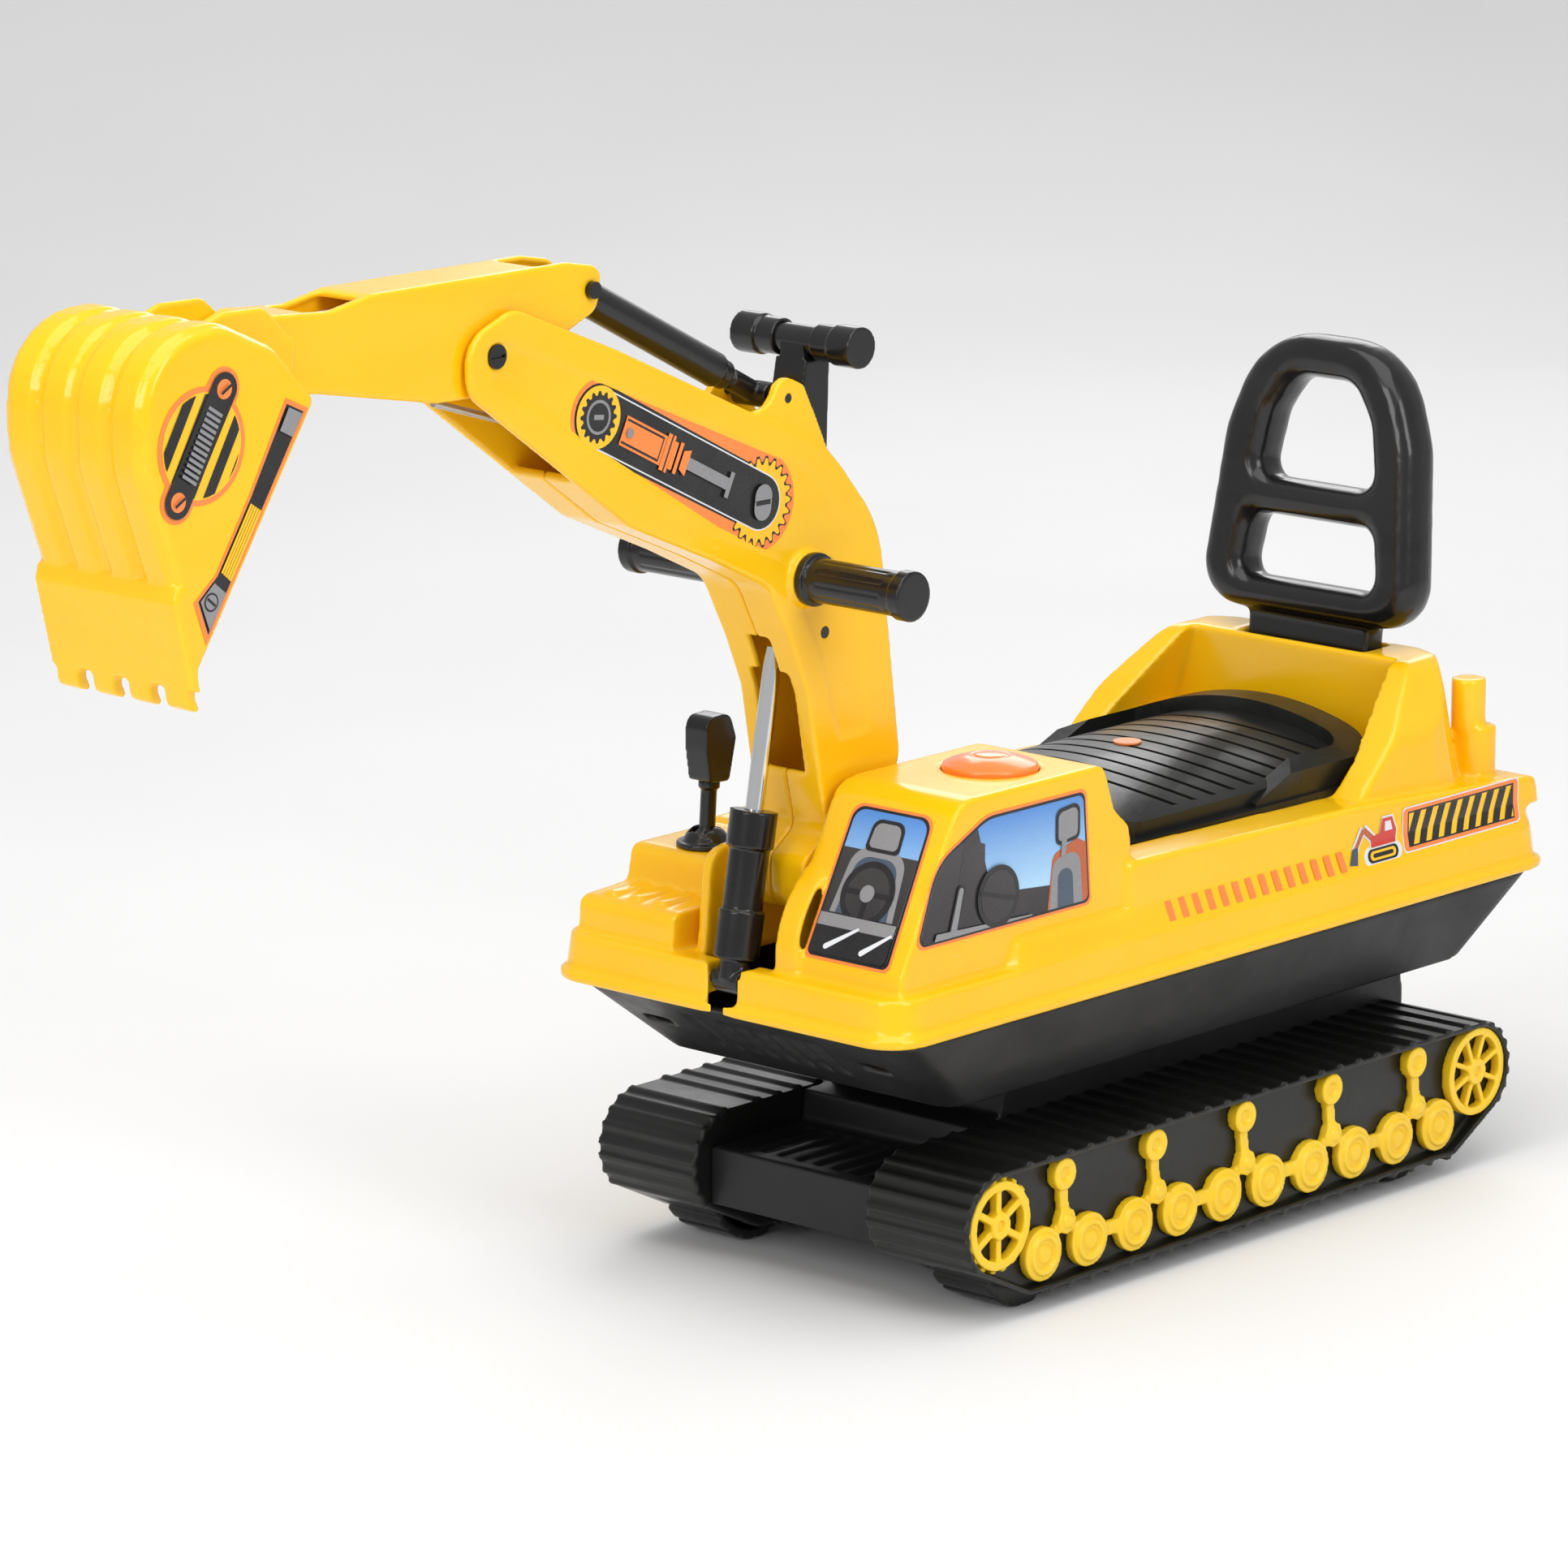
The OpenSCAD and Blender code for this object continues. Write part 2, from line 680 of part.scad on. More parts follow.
module joystick_boot() {
    color("#161617") place() translate([joy_at[0], joy_at[1], boot_z]) difference() {
        union() {
            cylinder(h = 3, d = 33);
            translate([0, 0, -8]) cylinder(h = 10, d = 23.6);
            intersection() {
                translate([0, 0, -1]) sphere(d = 27);
                cylinder(h = 16, d = 30);
            }
        }
        sphere(d = 21);
        rotate([90, 0, 0]) translate([0, 0, -11.7]) cylinder(h = 23.4, d = 4 + 2 * fit);
        rotate([90, 0, 0]) translate([0, 0, -6]) linear_extrude(12)
            polygon([[-5, 0], [5, 0], [14, 22], [-14, 22]]);
    }
}

module joystick_stem() {
    color("#161617") place() translate([joy_at[0], joy_at[1], boot_z]) {
        sphere(d = 20.4);
        rotate([90, 0, 0]) translate([0, 0, -11.5]) cylinder(h = 23, d = 4);
        rotate([0, -4, 0]) {
            cylinder(h = 40, d = 9);
            translate([0, 0, 32]) cylinder(h = 4, d = 12);
        }
    }
}

module joystick_knob() {
    color("#161617") place() translate([joy_at[0], joy_at[1], boot_z]) rotate([0, -4, 0])
        difference() {
            union() {
                translate([0, 0, 36]) slab(-8, 8) polygon(rounded([[-8, 0, 3], [8, 0, 3], [12, 18, 5],
                    [13, 36, 7], [-6, 38, 7], [-12, 24, 5]]));
            }
            translate([0, 0, 35]) cylinder(h = 5, d = 9);
        }
}

/* Arm */

// Side outline of the boom
module boom_outline() {
    polygon(rounded([[247, 214, 14], [210, 214, 18], [182, 262, 30], [169, 290, 20], [186, 420, 70],
        [226, 466, 60], [390, 540, 30], [466, 571, 18], [500, 558, 20], [499, 530, 16], [381, 446, 40],
        [318, 419, 20], [274, 398, 24], [255, 362, 20], [243, 334, 20], [234, 285, 12], [228, 258, 8],
        [247, 245, 8]], 6));
}

// Hole and stretch of the boom that is left open from the middle plane to the cheeks
module boom_hollow() {
    offset(delta = -cheek) boom_outline();
    // Fork at the tip
    polygon([[406, 500], [406, 600], [530, 600], [530, 470], [424, 470]]);
}

module boom_half() {
    half = boom_w / 2;
    difference() {
        union() {
            slab(0, half) boom_outline();
            // Ears of the ram
            slab(half - 6, half - 1) polygon(rounded([[214, 440, 0], [246, 503, 9], [264, 511, 10],
                [273, 494, 12], [312, 492, 0]]));
            rod_y(grip_at, 30, half - 1, half + 3);
        }
        slab(-1, half - cheek) boom_hollow();
        // Opening in the column's front, for the lift cylinder's rod
        slab(-1, 14) polygon([[225, 290], [238, 346], [270, 346], [270, 290]]);
        slab(-1, 8) polygon([[236, 340], [236, 366], [272, 366], [272, 340]]);
        // Opening that the lever swings in
        slab(-1, 12.5) polygon([[160, 424], [170, 500], [244, 500], [246, 440], [200, 424]]);
        // Raised border: the middle of the side is a little lower
        difference() {
            slab(half - 1, half + 1) offset(delta = -8) polygon(rounded([[186, 300, 10], [196, 412, 60],
                [232, 462, 30], [478, 566, 10], [492, 532, 10], [318, 428, 20], [268, 404, 20],
                [240, 350, 10], [226, 300, 10]]));
            rod_y(grip_at, 30, half - 2, half + 2);
        }
        rod_y(boom_at, pin_d + 2 * fit, -1, half + 1);
        rod_y(tip_at, pin_d, -1, half + 5);
        rod_y(tip_at, 13, half - 2, half + 5);
        rod_y(ear_at, 5, -1, half + 1);
        rod_y(lever_at, 6, -1, half + 1);
        rod_y(grip_at, 8, -1, half + 5);
        for (at = boom_screw_at) rod_y(at, 7, half - 3, half + 5);
        for (at = boom_screw_at) rod_y(at, 3.6, -1, half + 1);
    }
    // Screw posts inside the halves
    for (at = boom_screw_at) difference() {
        rod_y(at, 10, 0, half - cheek + 1);
        rod_y(at, 3.6, -1, half + 1);
    }
}

module boom_left() {
    color("#fdbf14") place() translate([0, 0.05, 0]) boom_half();
}

module boom_right() {
    color("#fdbf14") place() on_side(-1) translate([0, 0.05, 0]) boom_half();
}

module boom_screws() {
    color("#2b2b2e") place() for (at = boom_screw_at) {
        rod_y(at, 3.6, -20, boom_w / 2 - 3);
        rod_y(at, 6.8, boom_w / 2 - 2.9, boom_w / 2 - 1.4);
    }
}

module grip_rod() {
    color("silver") place() rod_y(grip_at, 8, -92, 92);
}

module grip() {
    y0 = boom_w / 2 + 3.1;
    difference() {
        union() {
            rod_y(grip_at, 29, y0, y0 + 5);
            rod_y(grip_at, 24, y0, 97);
            rod_y(grip_at, 27, 92, 100);
        }
        rod_y(grip_at, 8, y0 - 1, 92.2);
        for (i = [0:9]) translate([grip_at[0], 40, grip_at[1]]) rotate([0, 36 * i, 0])
            translate([11.4, 0, -1]) cube([2, 46, 2]);
    }
}

module grip_left() {
    color("#1b1b1d") place() grip();
}

module grip_right() {
    color("#1b1b1d") place() on_side(-1) grip();
}

module ear_pin() {
    color("#1b1b1d") place() rod_y(ear_at, 5, -boom_w / 2 + 1.5, boom_w / 2 - 1.5);
}

module tip_pin() {
    color("#1b1b1d") place() difference() {
        union() {
            rod_y(tip_at, pin_d, -boom_w / 2 + 2, boom_w / 2 - 2);
            for (s = [-1, 1]) on_side(s) rod_y(tip_at, 12.6, boom_w / 2 - 1.9, boom_w / 2 + 0.5);
        }
        for (s = [-1, 1]) on_side(s) translate([tip_at[0] - 5, boom_w / 2 - 0.6, tip_at[1] - 0.8])
            cube([10, 2, 1.6]);
    }
}

module lever_pin() {
    color("silver") place() rod_y(lever_at, 6, -boom_w / 2 + 1, boom_w / 2 - 1);
}

module lift_barrel() {
    color("#1b1b1d") place() difference() {
        union() {
            rod_lean(lift_at, lift_lean, lift_d, 12, 88);
            rod_lean(lift_at, lift_lean, lift_d + 4, 72, 92);
            rod_lean(lift_at, lift_lean, lift_d + 3, 12, 38);
            rod_y(lift_at, 15, -9, 9);
            rod_lean(lift_at, lift_lean, 17, 0, 20);
        }
        rod_y(lift_at, 6 + 2 * fit, -10, 10);
        rod_lean(lift_at, lift_lean, lift_rod_d + 2 * fit, 30, 100);
    }
}

module lift_rod() {
    color("#d9dbde") place() rod_lean(lift_at, lift_lean, lift_rod_d, 60, 180);
}

module lever_stem() {
    color("#1b1b1d") place() difference() {
        union() {
            slab(-11, 11) polygon(rounded([[211, 512, 0], [230, 512, 0], [240, 462, 4], [238, 404, 12],
                [214, 396, 10], [212, 430, 0], [213, 462, 0]]));
            slab(-8.5, 8.5) polygon([[211, 505], [230, 505], [229, 521], [213, 521]]);
        }
        rod_y(lever_at, 6 + 2 * fit, -12, 12);
        rod_y(bar_at, 16, -12, 12);
        translate([206, -4.5, 422]) cube([40, 9, 30]);
    }
}

module lever_bar() {
    color("#1b1b1d") place() rod_y(bar_at, 16, -30, 30);
}

module lever_caps() {
    color("#1b1b1d") place() for (s = [-1, 1]) on_side(s) difference() {
        union() {
            rod_y(bar_at, 20, 13, 33);
            rod_y(bar_at, 22.5, 26, 42);
        }
        rod_y(bar_at, 16, 12, 30);
    }
}

// Steel wire that leaves the lever at one end and the dipper at the other
module push_rod() {
    a = [234, 442];
    b = [500, 524];
    d = b - a;
    color("silver") place() translate([a[0], 0, a[1]]) rotate([0, 90 - atan2(d[1], d[0]), 0])
        cylinder(h = norm(d), d = 4, $fn = 24);
}

// Side outline of the dipper arm
module dipper_outline() {
    polygon(rounded([[398, 561, 10], [394, 583, 8], [420, 588, 4], [560, 589, 6], [590, 584, 20],
        [630, 587, 8], [660, 577, 14], [656, 549, 16], [600, 544, 10], [516, 528, 14], [484, 527, 14]], 5));
}

module dipper_arm() {
    half = dipper_w / 2;
    color("#fdbf14") place() difference() {
        slab(-half, half) dipper_outline();
        // Hollow inside, open below at the rear and cut out between the rear ears
        slab(-half + wall, half - wall) offset(delta = -wall) dipper_outline();
        translate([380, -half + 5, 540]) cube([60, 2 * half - 10, 80]);
        translate([484, -9, 520]) cube([34, 18, 20]);
        // Recess in the top, where the bucket's rod runs
        slab(-half + 5, half - 5) polygon([[566, 570], [566, 600], [612, 600], [596, 572]]);
        rod_y(tip_at, pin_d + 2 * fit, -30, 30);
        rod_y(bucket_at, 6, -30, 30);
        rod_y(dipper_ear_at, 7, -30, 30);
    }
    // Floor under the recess
    color("#fdbf14") place() translate([556, 2 - half, 565]) cube([64, 2 * half - 4, 3]);
    // Bushes around the pivots
    color("#fdbf14") place() for (spot = [[tip_at, pin_d + 2 * fit, 16], [bucket_at, 6, 13]])
        for (s = [-1, 1]) on_side(s) difference() {
            rod_y(spot[0], spot[2], 10, half - 1);
            rod_y(spot[0], spot[1], 9, half);
        }
}

module dipper_pin() {
    color("#1b1b1d") place() {
        rod_y(dipper_ear_at, 7, -dipper_w / 2 - 2, dipper_w / 2 + 2);
        for (s = [-1, 1]) on_side(s) rod_y(dipper_ear_at, 9, dipper_w / 2, dipper_w / 2 + 3);
    }
}

module bucket_pin() {
    color("#1b1b1d") place() rod_y(bucket_at, 6, -25, 25);
}

// Outer tube of the ram; its open end stops short of the dipper's pin
module ram_tube() {
    color("#1b1b1d") place() difference() {
        union() {
            rod_lean(ear_at, ram_lean, ram_d, 36, 153);
            rod_lean(ear_at, ram_lean, ram_d - 3, 28, 40);
        }
        rod_lean(ear_at, ram_lean, 9 + 2 * fit, 20, 149);
    }
}

module ram_rod() {
    color("#1b1b1d") place() difference() {
        union() {
            rod_lean(ear_at, ram_lean, 9, 6, 140);
            rod_lean(ear_at, ram_lean, 12, 4, 24);
            rod_y(ear_at, 14, -12, 12);
        }
        rod_y(ear_at, 5 + 2 * fit, -13, 13);
    }
}

// Side outline of the bucket
module bucket_outline() {
    polygon(rounded([[628, 549, 5], [655, 578, 20], [692, 595, 30], [748, 592, 42], [748, 528, 50],
        [727, 470, 10], [717, 424, 0], [711, 424, 0]], 8));
}

module bucket() {
    half = bucket_w / 2;
    color("#fdbf14") place() difference() {
        union() {
            difference() {
                union() {
                    slab(-half, half) offset(delta = -3.8) bucket_outline();
                    // Four round swellings across the back
                    for (i = [0:3]) {
                        slab(-half + 1 + 24.4 * i, -half + 22.8 + 24.4 * i)
                            offset(delta = -1.8) bucket_outline();
                        slab(-half + 4.5 + 24.4 * i, -half + 19.3 + 24.4 * i) bucket_outline();
                    }
                }
                slab(-half + wall, half - wall) offset(delta = -6.8) bucket_outline();
                // The mouth
                translate([630, 0, 549]) rotate([0, 57.2, 0]) translate([8, -half + wall, -100])
                    cube([140, 2 * (half - wall), 100.5]);
            }
            // Flat side flanges by the mouth and the cutting plate
            slab(-half - 0.8, half + 0.8)
                polygon([[727, 470], [729, 462], [718.5, 418], [712, 416], [716, 440], [721, 468]]);
            for (i = [0:3]) slab(-half + 2 + 25.5 * i, -half + 17 + 25.5 * i)
                polygon(rounded([[710.5, 424, 0], [720, 424, 0], [717, 408, 3], [705, 403, 2],
                    [711, 412, 4]]));
            // Clevis ears
            for (s = [-1, 1]) on_side(s) slab(dipper_w / 2 + 0.6, dipper_w / 2 + 5) polygon(rounded([
                [617, 572, 6], [640, 593, 8], [668, 594, 6], [700, 584, 0], [700, 560, 0], [640, 545, 0],
                [622, 552, 8]]));
        }
        // Room for the arm's end between the ears
        rod_y(bucket_at, 54, -dipper_w / 2 - 0.6, dipper_w / 2 + 0.6, 48);
        rod_y(bucket_at, 6 + 2 * fit, -26, 26);
        translate([600, -dipper_w / 2 - 0.6, 540]) cube([38, dipper_w + 1.2, 60]);
    }
}

// Steel rod that runs along the dipper to the bucket
module bucket_rod() {
    color("silver") place() translate([424, 0, 579]) rotate([0, 90, 0]) cylinder(h = 172, d = 4, $fn = 24);
}

base_frame();
track_left();
track_right();
sprocket_left();
sprocket_right();
rollers_left();
rollers_right();
idler_left();
idler_right();
front_axle();
rear_axle();
axle_caps();
wheel_front_left();
wheel_front_right();
wheel_rear_left();
wheel_rear_right();
base_screws();
lower_hull();
upper_deck();
deck_screws();
boom_pin();
lift_foot_pin();
backrest();
backrest_screws();
seat_lid();
seat_plug();
seat_hinge_rod();
horn_button();
horn_spring();
horn_box();
joystick_boot();
joystick_stem();
joystick_knob();
boom_left();
boom_right();
boom_screws();
grip_rod();
grip_left();
grip_right();
ear_pin();
tip_pin();
lever_pin();
lift_barrel();
lift_rod();
lever_stem();
lever_bar();
lever_caps();
push_rod();
dipper_arm();
dipper_pin();
bucket_pin();
ram_tube();
ram_rod();
bucket();
bucket_rod();
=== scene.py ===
"""Looks of a ride-on toy digger: glossy moulded plastic, printed stickers and plated steel."""
import math

import bmesh
import bpy
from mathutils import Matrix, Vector


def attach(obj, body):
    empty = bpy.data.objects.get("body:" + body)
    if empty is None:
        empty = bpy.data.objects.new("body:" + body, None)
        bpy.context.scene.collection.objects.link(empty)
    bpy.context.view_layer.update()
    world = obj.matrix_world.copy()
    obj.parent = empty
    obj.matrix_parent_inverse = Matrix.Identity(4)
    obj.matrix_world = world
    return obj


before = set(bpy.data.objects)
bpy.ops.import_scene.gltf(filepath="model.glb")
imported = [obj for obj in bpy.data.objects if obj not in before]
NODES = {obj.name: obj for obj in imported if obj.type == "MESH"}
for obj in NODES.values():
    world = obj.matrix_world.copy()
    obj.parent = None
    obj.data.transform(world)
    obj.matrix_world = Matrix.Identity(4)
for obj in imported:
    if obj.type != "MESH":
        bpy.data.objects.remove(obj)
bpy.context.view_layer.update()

# The base's middle lies this far behind the middle of the whole toy, in metres
BASE_X = -0.229
MM = 0.001


def place(x, y, z):
    """A point given in millimetres from the middle of the base, in the frame's metres."""
    return Vector((BASE_X + x * MM, y * MM, z * MM))


# ---------------------------------------------------------------- materials

class Nodes:
    """Short names for the node tree of one material."""

    def __init__(self, name):
        self.mat = bpy.data.materials.new(name)
        self.mat.use_nodes = True
        self.tree = self.mat.node_tree
        self.shader = self.tree.nodes["Principled BSDF"]
        self.coords = self.tree.nodes.new("ShaderNodeTexCoord").outputs["Object"]

    def set(self, **values):
        for key, value in values.items():
            self.shader.inputs[key.replace("_", " ")].default_value = value

    def link(self, a, b):
        self.tree.links.new(a, b)

    def noise(self, scale, detail=3.0, rough=0.5, stretch=(1, 1, 1)):
        mapping = self.tree.nodes.new("ShaderNodeMapping")
        mapping.inputs["Scale"].default_value = stretch
        self.link(self.coords, mapping.inputs["Vector"])
        node = self.tree.nodes.new("ShaderNodeTexNoise")
        node.inputs["Scale"].default_value = scale
        node.inputs["Detail"].default_value = detail
        node.inputs["Roughness"].default_value = rough
        self.link(mapping.outputs["Vector"], node.inputs["Vector"])
        return node.outputs["Fac"]

    def ramp(self, fac, stops, easing="LINEAR"):
        node = self.tree.nodes.new("ShaderNodeValToRGB")
        node.color_ramp.interpolation = easing
        points = node.color_ramp.elements
        while len(points) < len(stops):
            points.new(0.5)
        for point, (at, colour) in zip(points, stops):
            point.position = at
            point.color = colour if isinstance(colour, tuple) else (colour, colour, colour, 1)
        self.link(fac, node.inputs["Fac"])
        return node.outputs["Color"]

    def mix(self, fac, a, b, mode="MIX"):
        node = self.tree.nodes.new("ShaderNodeMix")
        node.data_type = "RGBA"
        node.blend_type = mode
        for socket, value in ((node.inputs[0], fac), (node.inputs[6], a), (node.inputs[7], b)):
            if isinstance(value, (tuple, float, int)):
                socket.default_value = value
            else:
                self.link(value, socket)
        return node.outputs[2]

    def faded(self, mask, away):
        """The mask made weaker: away is the share of it that is taken away."""
        return self.mix(away, mask, rgb(0, 0, 0))

    def bump(self, height, strength, distance, under=None):
        node = self.tree.nodes.new("ShaderNodeBump")
        node.inputs["Strength"].default_value = strength
        node.inputs["Distance"].default_value = distance
        self.link(height, node.inputs["Height"])
        if under:
            self.link(under, node.inputs["Normal"])
        return node.outputs["Normal"]


def rgb(r, g, b):
    return (r, g, b, 1.0)


def worn_edges(n):
    """White on convex edges, from the mesh's own curvature, broken up by noise."""
    geometry = n.tree.nodes.new("ShaderNodeNewGeometry")
    edge = n.ramp(geometry.outputs["Pointiness"], [(0.505, 0.0), (0.56, 1.0)])
    return n.mix(1.0, edge, n.ramp(n.noise(90, 4), [(0.4, 0.0), (0.62, 1.0)]), "MULTIPLY")


def plastic(name, colour, deep, pale, gloss, coat=0.25, scuffs=0.12, peel=0.05, soft=0.0, shine=0.5):
    """Moulded plastic: cloudy colour, faint flow marks, fine scuffs and a slightly wavy skin."""
    n = Nodes(name)
    cloud = n.ramp(n.noise(7, 3), [(0.3, 0.0), (0.7, 1.0)])
    flow = n.ramp(n.noise(5, 4, 0.6, (1, 1, 5)), [(0.45, 0.0), (0.62, 1.0)])
    base = n.mix(cloud, deep, colour)
    base = n.mix(n.faded(flow, 0.85), base, pale)
    scratch = n.ramp(n.noise(60, 5, 0.7, (1, 9, 3)), [(0.63, 0.0), (0.69, 1.0)])
    dust = n.ramp(n.noise(650, 2), [(0.66, 0.0), (0.72, 1.0)])
    base = n.mix(n.faded(scratch, 1.0 - scuffs), base, pale)
    base = n.mix(n.faded(worn_edges(n), 0.82), base, pale)
    base = n.mix(n.faded(dust, 0.93), base, pale)
    n.link(base, n.shader.inputs["Base Color"])
    rough = n.ramp(n.noise(24, 4), [(0.3, gloss * 0.8), (0.7, gloss * 1.25)])
    rough = n.mix(n.faded(scratch, 0.6), rough, rgb(0.5, 0.5, 0.5))
    n.link(rough, n.shader.inputs["Roughness"])
    skin = n.bump(n.noise(75, 2), peel, 0.002)
    n.link(n.bump(n.noise(900, 2), peel * 0.8, 0.0002, skin), n.shader.inputs["Normal"])
    n.set(Coat_Weight=coat, Coat_Roughness=0.06, IOR=1.5, Specular_IOR_Level=shine)
    if soft:
        n.set(Subsurface_Weight=soft, Subsurface_Scale=0.004)
        n.shader.inputs["Subsurface Radius"].default_value = (1.0, 0.55, 0.1)
    return n.mat


def metal(name, colour, rough, brushed=(1, 1, 30), strength=0.06):
    """Plated or brushed steel with drawing marks and a little tarnish."""
    n = Nodes(name)
    marks = n.noise(45, 4, 0.6, brushed)
    stain = n.ramp(n.noise(18, 4), [(0.45, 0.0), (0.75, 1.0)])
    dull = tuple(c * 0.62 for c in colour[:3]) + (1.0,)
    n.link(n.mix(n.faded(stain, 0.6), colour, dull), n.shader.inputs["Base Color"])
    n.link(n.ramp(marks, [(0.3, rough * 0.7), (0.7, rough * 1.5)]), n.shader.inputs["Roughness"])
    n.link(n.bump(marks, strength, 0.0004), n.shader.inputs["Normal"])
    n.set(Metallic=1.0)
    return n.mat


def printed(name, colour, colour_low=None, low=0.0, high=1.0, rough=0.22):
    """Glossy printed film; a second colour fades in towards the bottom."""
    n = Nodes(name)
    base = colour
    if colour_low:
        split = n.tree.nodes.new("ShaderNodeSeparateXYZ")
        n.link(n.coords, split.inputs[0])
        ease = n.tree.nodes.new("ShaderNodeMapRange")
        ease.inputs["From Min"].default_value = low
        ease.inputs["From Max"].default_value = high
        n.link(split.outputs["Z"], ease.inputs["Value"])
        base = n.mix(ease.outputs["Result"], colour_low, colour)
    grain = n.ramp(n.noise(900, 2), [(0.35, 0.0), (0.75, 1.0)])
    faded = n.ramp(n.noise(40, 3), [(0.4, 0.0), (0.8, 1.0)])
    pale = tuple(min(1.0, c * 0.85 + 0.12) for c in colour[:3]) + (1.0,)
    base = n.mix(n.faded(grain, 0.93), base, pale)
    base = n.mix(n.faded(faded, 0.9), base, pale)
    n.link(base, n.shader.inputs["Base Color"])
    n.link(n.ramp(n.noise(70, 3), [(0.3, rough * 0.7), (0.7, rough * 1.5)]), n.shader.inputs["Roughness"])
    n.link(n.bump(n.noise(120, 2), 0.05, 0.0006), n.shader.inputs["Normal"])
    n.set(Coat_Weight=0.15, Coat_Roughness=0.08, Specular_IOR_Level=0.35)
    return n.mat


YELLOW = plastic("yellow_shell", rgb(1.0, 0.575, 0.003), rgb(0.98, 0.525, 0.002), rgb(1.0, 0.65, 0.05),
                 0.2, coat=0.15, scuffs=0.08, peel=0.03, soft=0.1, shine=0.4)
TRIM = plastic("yellow_trim", rgb(0.98, 0.64, 0.01), rgb(0.92, 0.57, 0.007), rgb(1.0, 0.76, 0.12),
               0.33, coat=0.1, scuffs=0.18, peel=0.08, soft=0.08)
ORANGE = plastic("orange_button", rgb(0.96, 0.25, 0.035), rgb(0.88, 0.2, 0.02), rgb(1.0, 0.42, 0.14),
                 0.24, coat=0.4, scuffs=0.08, peel=0.04, soft=0.15)
BLACK = plastic("black_gloss", rgb(0.0065, 0.0065, 0.007), rgb(0.004, 0.004, 0.0045), rgb(0.04, 0.04, 0.04),
                0.24, coat=0.3, scuffs=0.10, peel=0.04, shine=0.35)
HULL_BLACK = plastic("black_satin", rgb(0.012, 0.012, 0.0125), rgb(0.008, 0.008, 0.0085),
                     rgb(0.045, 0.045, 0.045), 0.4, coat=0.04, scuffs=0.2, peel=0.12, shine=0.3)
TRACK_BLACK = plastic("black_track", rgb(0.008, 0.009, 0.008), rgb(0.005, 0.006, 0.005),
                      rgb(0.045, 0.047, 0.042), 0.32, coat=0.06, scuffs=0.25, peel=0.1, shine=0.35)
CHROME = metal("bright_chrome", rgb(0.78, 0.79, 0.8), 0.09, (1, 1, 25), 0.03)
ZINC = metal("zinc_steel", rgb(0.55, 0.56, 0.57), 0.34, (1, 20, 1), 0.1)

SKY = printed("print_sky", rgb(0.03, 0.19, 0.62), rgb(0.45, 0.72, 0.95), 0.232, 0.282)
INK = printed("print_black", rgb(0.012, 0.011, 0.012))
SHADE = printed("print_cabin", rgb(0.045, 0.04, 0.042), rgb(0.016, 0.014, 0.015), 0.2, 0.26)
GREY = printed("print_grey", rgb(0.26, 0.26, 0.27))
PALE = printed("print_pale", rgb(0.75, 0.78, 0.82))
RIM = printed("print_orange", rgb(0.95, 0.25, 0.05))
AMBER = printed("print_amber", rgb(1.0, 0.55, 0.012))
RUST = printed("print_rust", rgb(0.5, 0.11, 0.03))
RED = printed("print_red", rgb(0.62, 0.045, 0.03))
STEEL_BLUE = printed("print_steel", rgb(0.06, 0.085, 0.13))

LOOKS = {
    YELLOW: ["upper_deck", "boom_left", "boom_right", "dipper_arm", "bucket"],
    TRIM: ["sprocket_left", "sprocket_right", "rollers_left", "rollers_right", "idler_left", "idler_right"],
    ORANGE: ["horn_button", "seat_plug"],
    HULL_BLACK: ["lower_hull", "base_frame"],
    TRACK_BLACK: ["seat_lid", "track_left", "track_right", "wheel_front_left", "wheel_front_right",
                  "wheel_rear_left", "wheel_rear_right"],
    CHROME: ["lift_rod"],
    ZINC: ["front_axle", "rear_axle", "axle_caps", "base_screws", "deck_screws", "boom_pin",
           "lift_foot_pin", "backrest_screws", "seat_hinge_rod", "horn_spring", "grip_rod", "lever_pin",
           "push_rod", "bucket_rod"],
}


def dress(node, material):
    """Gives a CAD node one material all over."""
    mesh = NODES[node].data
    mesh.materials.clear()
    mesh.materials.append(material)


for name in NODES:
    dress(name, BLACK)
for material, names in LOOKS.items():
    for name in names:
        dress(name, material)


# ---------------------------------------------------------------- soft moulded edges

def soften(node, voxel, rounds, factor=0.5):
    """Rounds a moulding's edges the way a tool does, without changing the CAD mesh under it."""
    piece = NODES[node]
    remesh = piece.modifiers.new("skin", "REMESH")
    remesh.mode = "VOXEL"
    remesh.voxel_size = voxel * MM
    remesh.use_smooth_shade = True
    smooth = piece.modifiers.new("soften", "SMOOTH")
    smooth.factor = factor
    smooth.iterations = rounds


# Each group has the size of its voxels in millimetres and its number of smoothing rounds
MOULDINGS = [
    (("upper_deck",), 1.5, 9), (("boom_left", "boom_right"), 1.2, 4), (("dipper_arm",), 1.1, 4),
    (("bucket",), 1.2, 10), (("backrest",), 1.6, 14), (("lower_hull",), 2.0, 2),
    (("base_frame",), 1.5, 2), (("track_left", "track_right"), 1.25, 2),
    (("sprocket_left", "sprocket_right", "idler_left", "idler_right"), 0.7, 2),
    (("rollers_left", "rollers_right"), 0.9, 2), (("horn_button",), 0.8, 3),
    (("grip_left", "grip_right", "lever_caps", "joystick_knob", "joystick_boot"), 0.7, 4),
    (("lever_stem", "joystick_stem", "ram_tube", "ram_rod", "lift_barrel"), 0.8, 2),
    (("wheel_front_left", "wheel_front_right", "wheel_rear_left", "wheel_rear_right"), 1.2, 2),
]
for names, voxel, rounds in MOULDINGS:
    for name in names:
        soften(name, voxel, rounds)

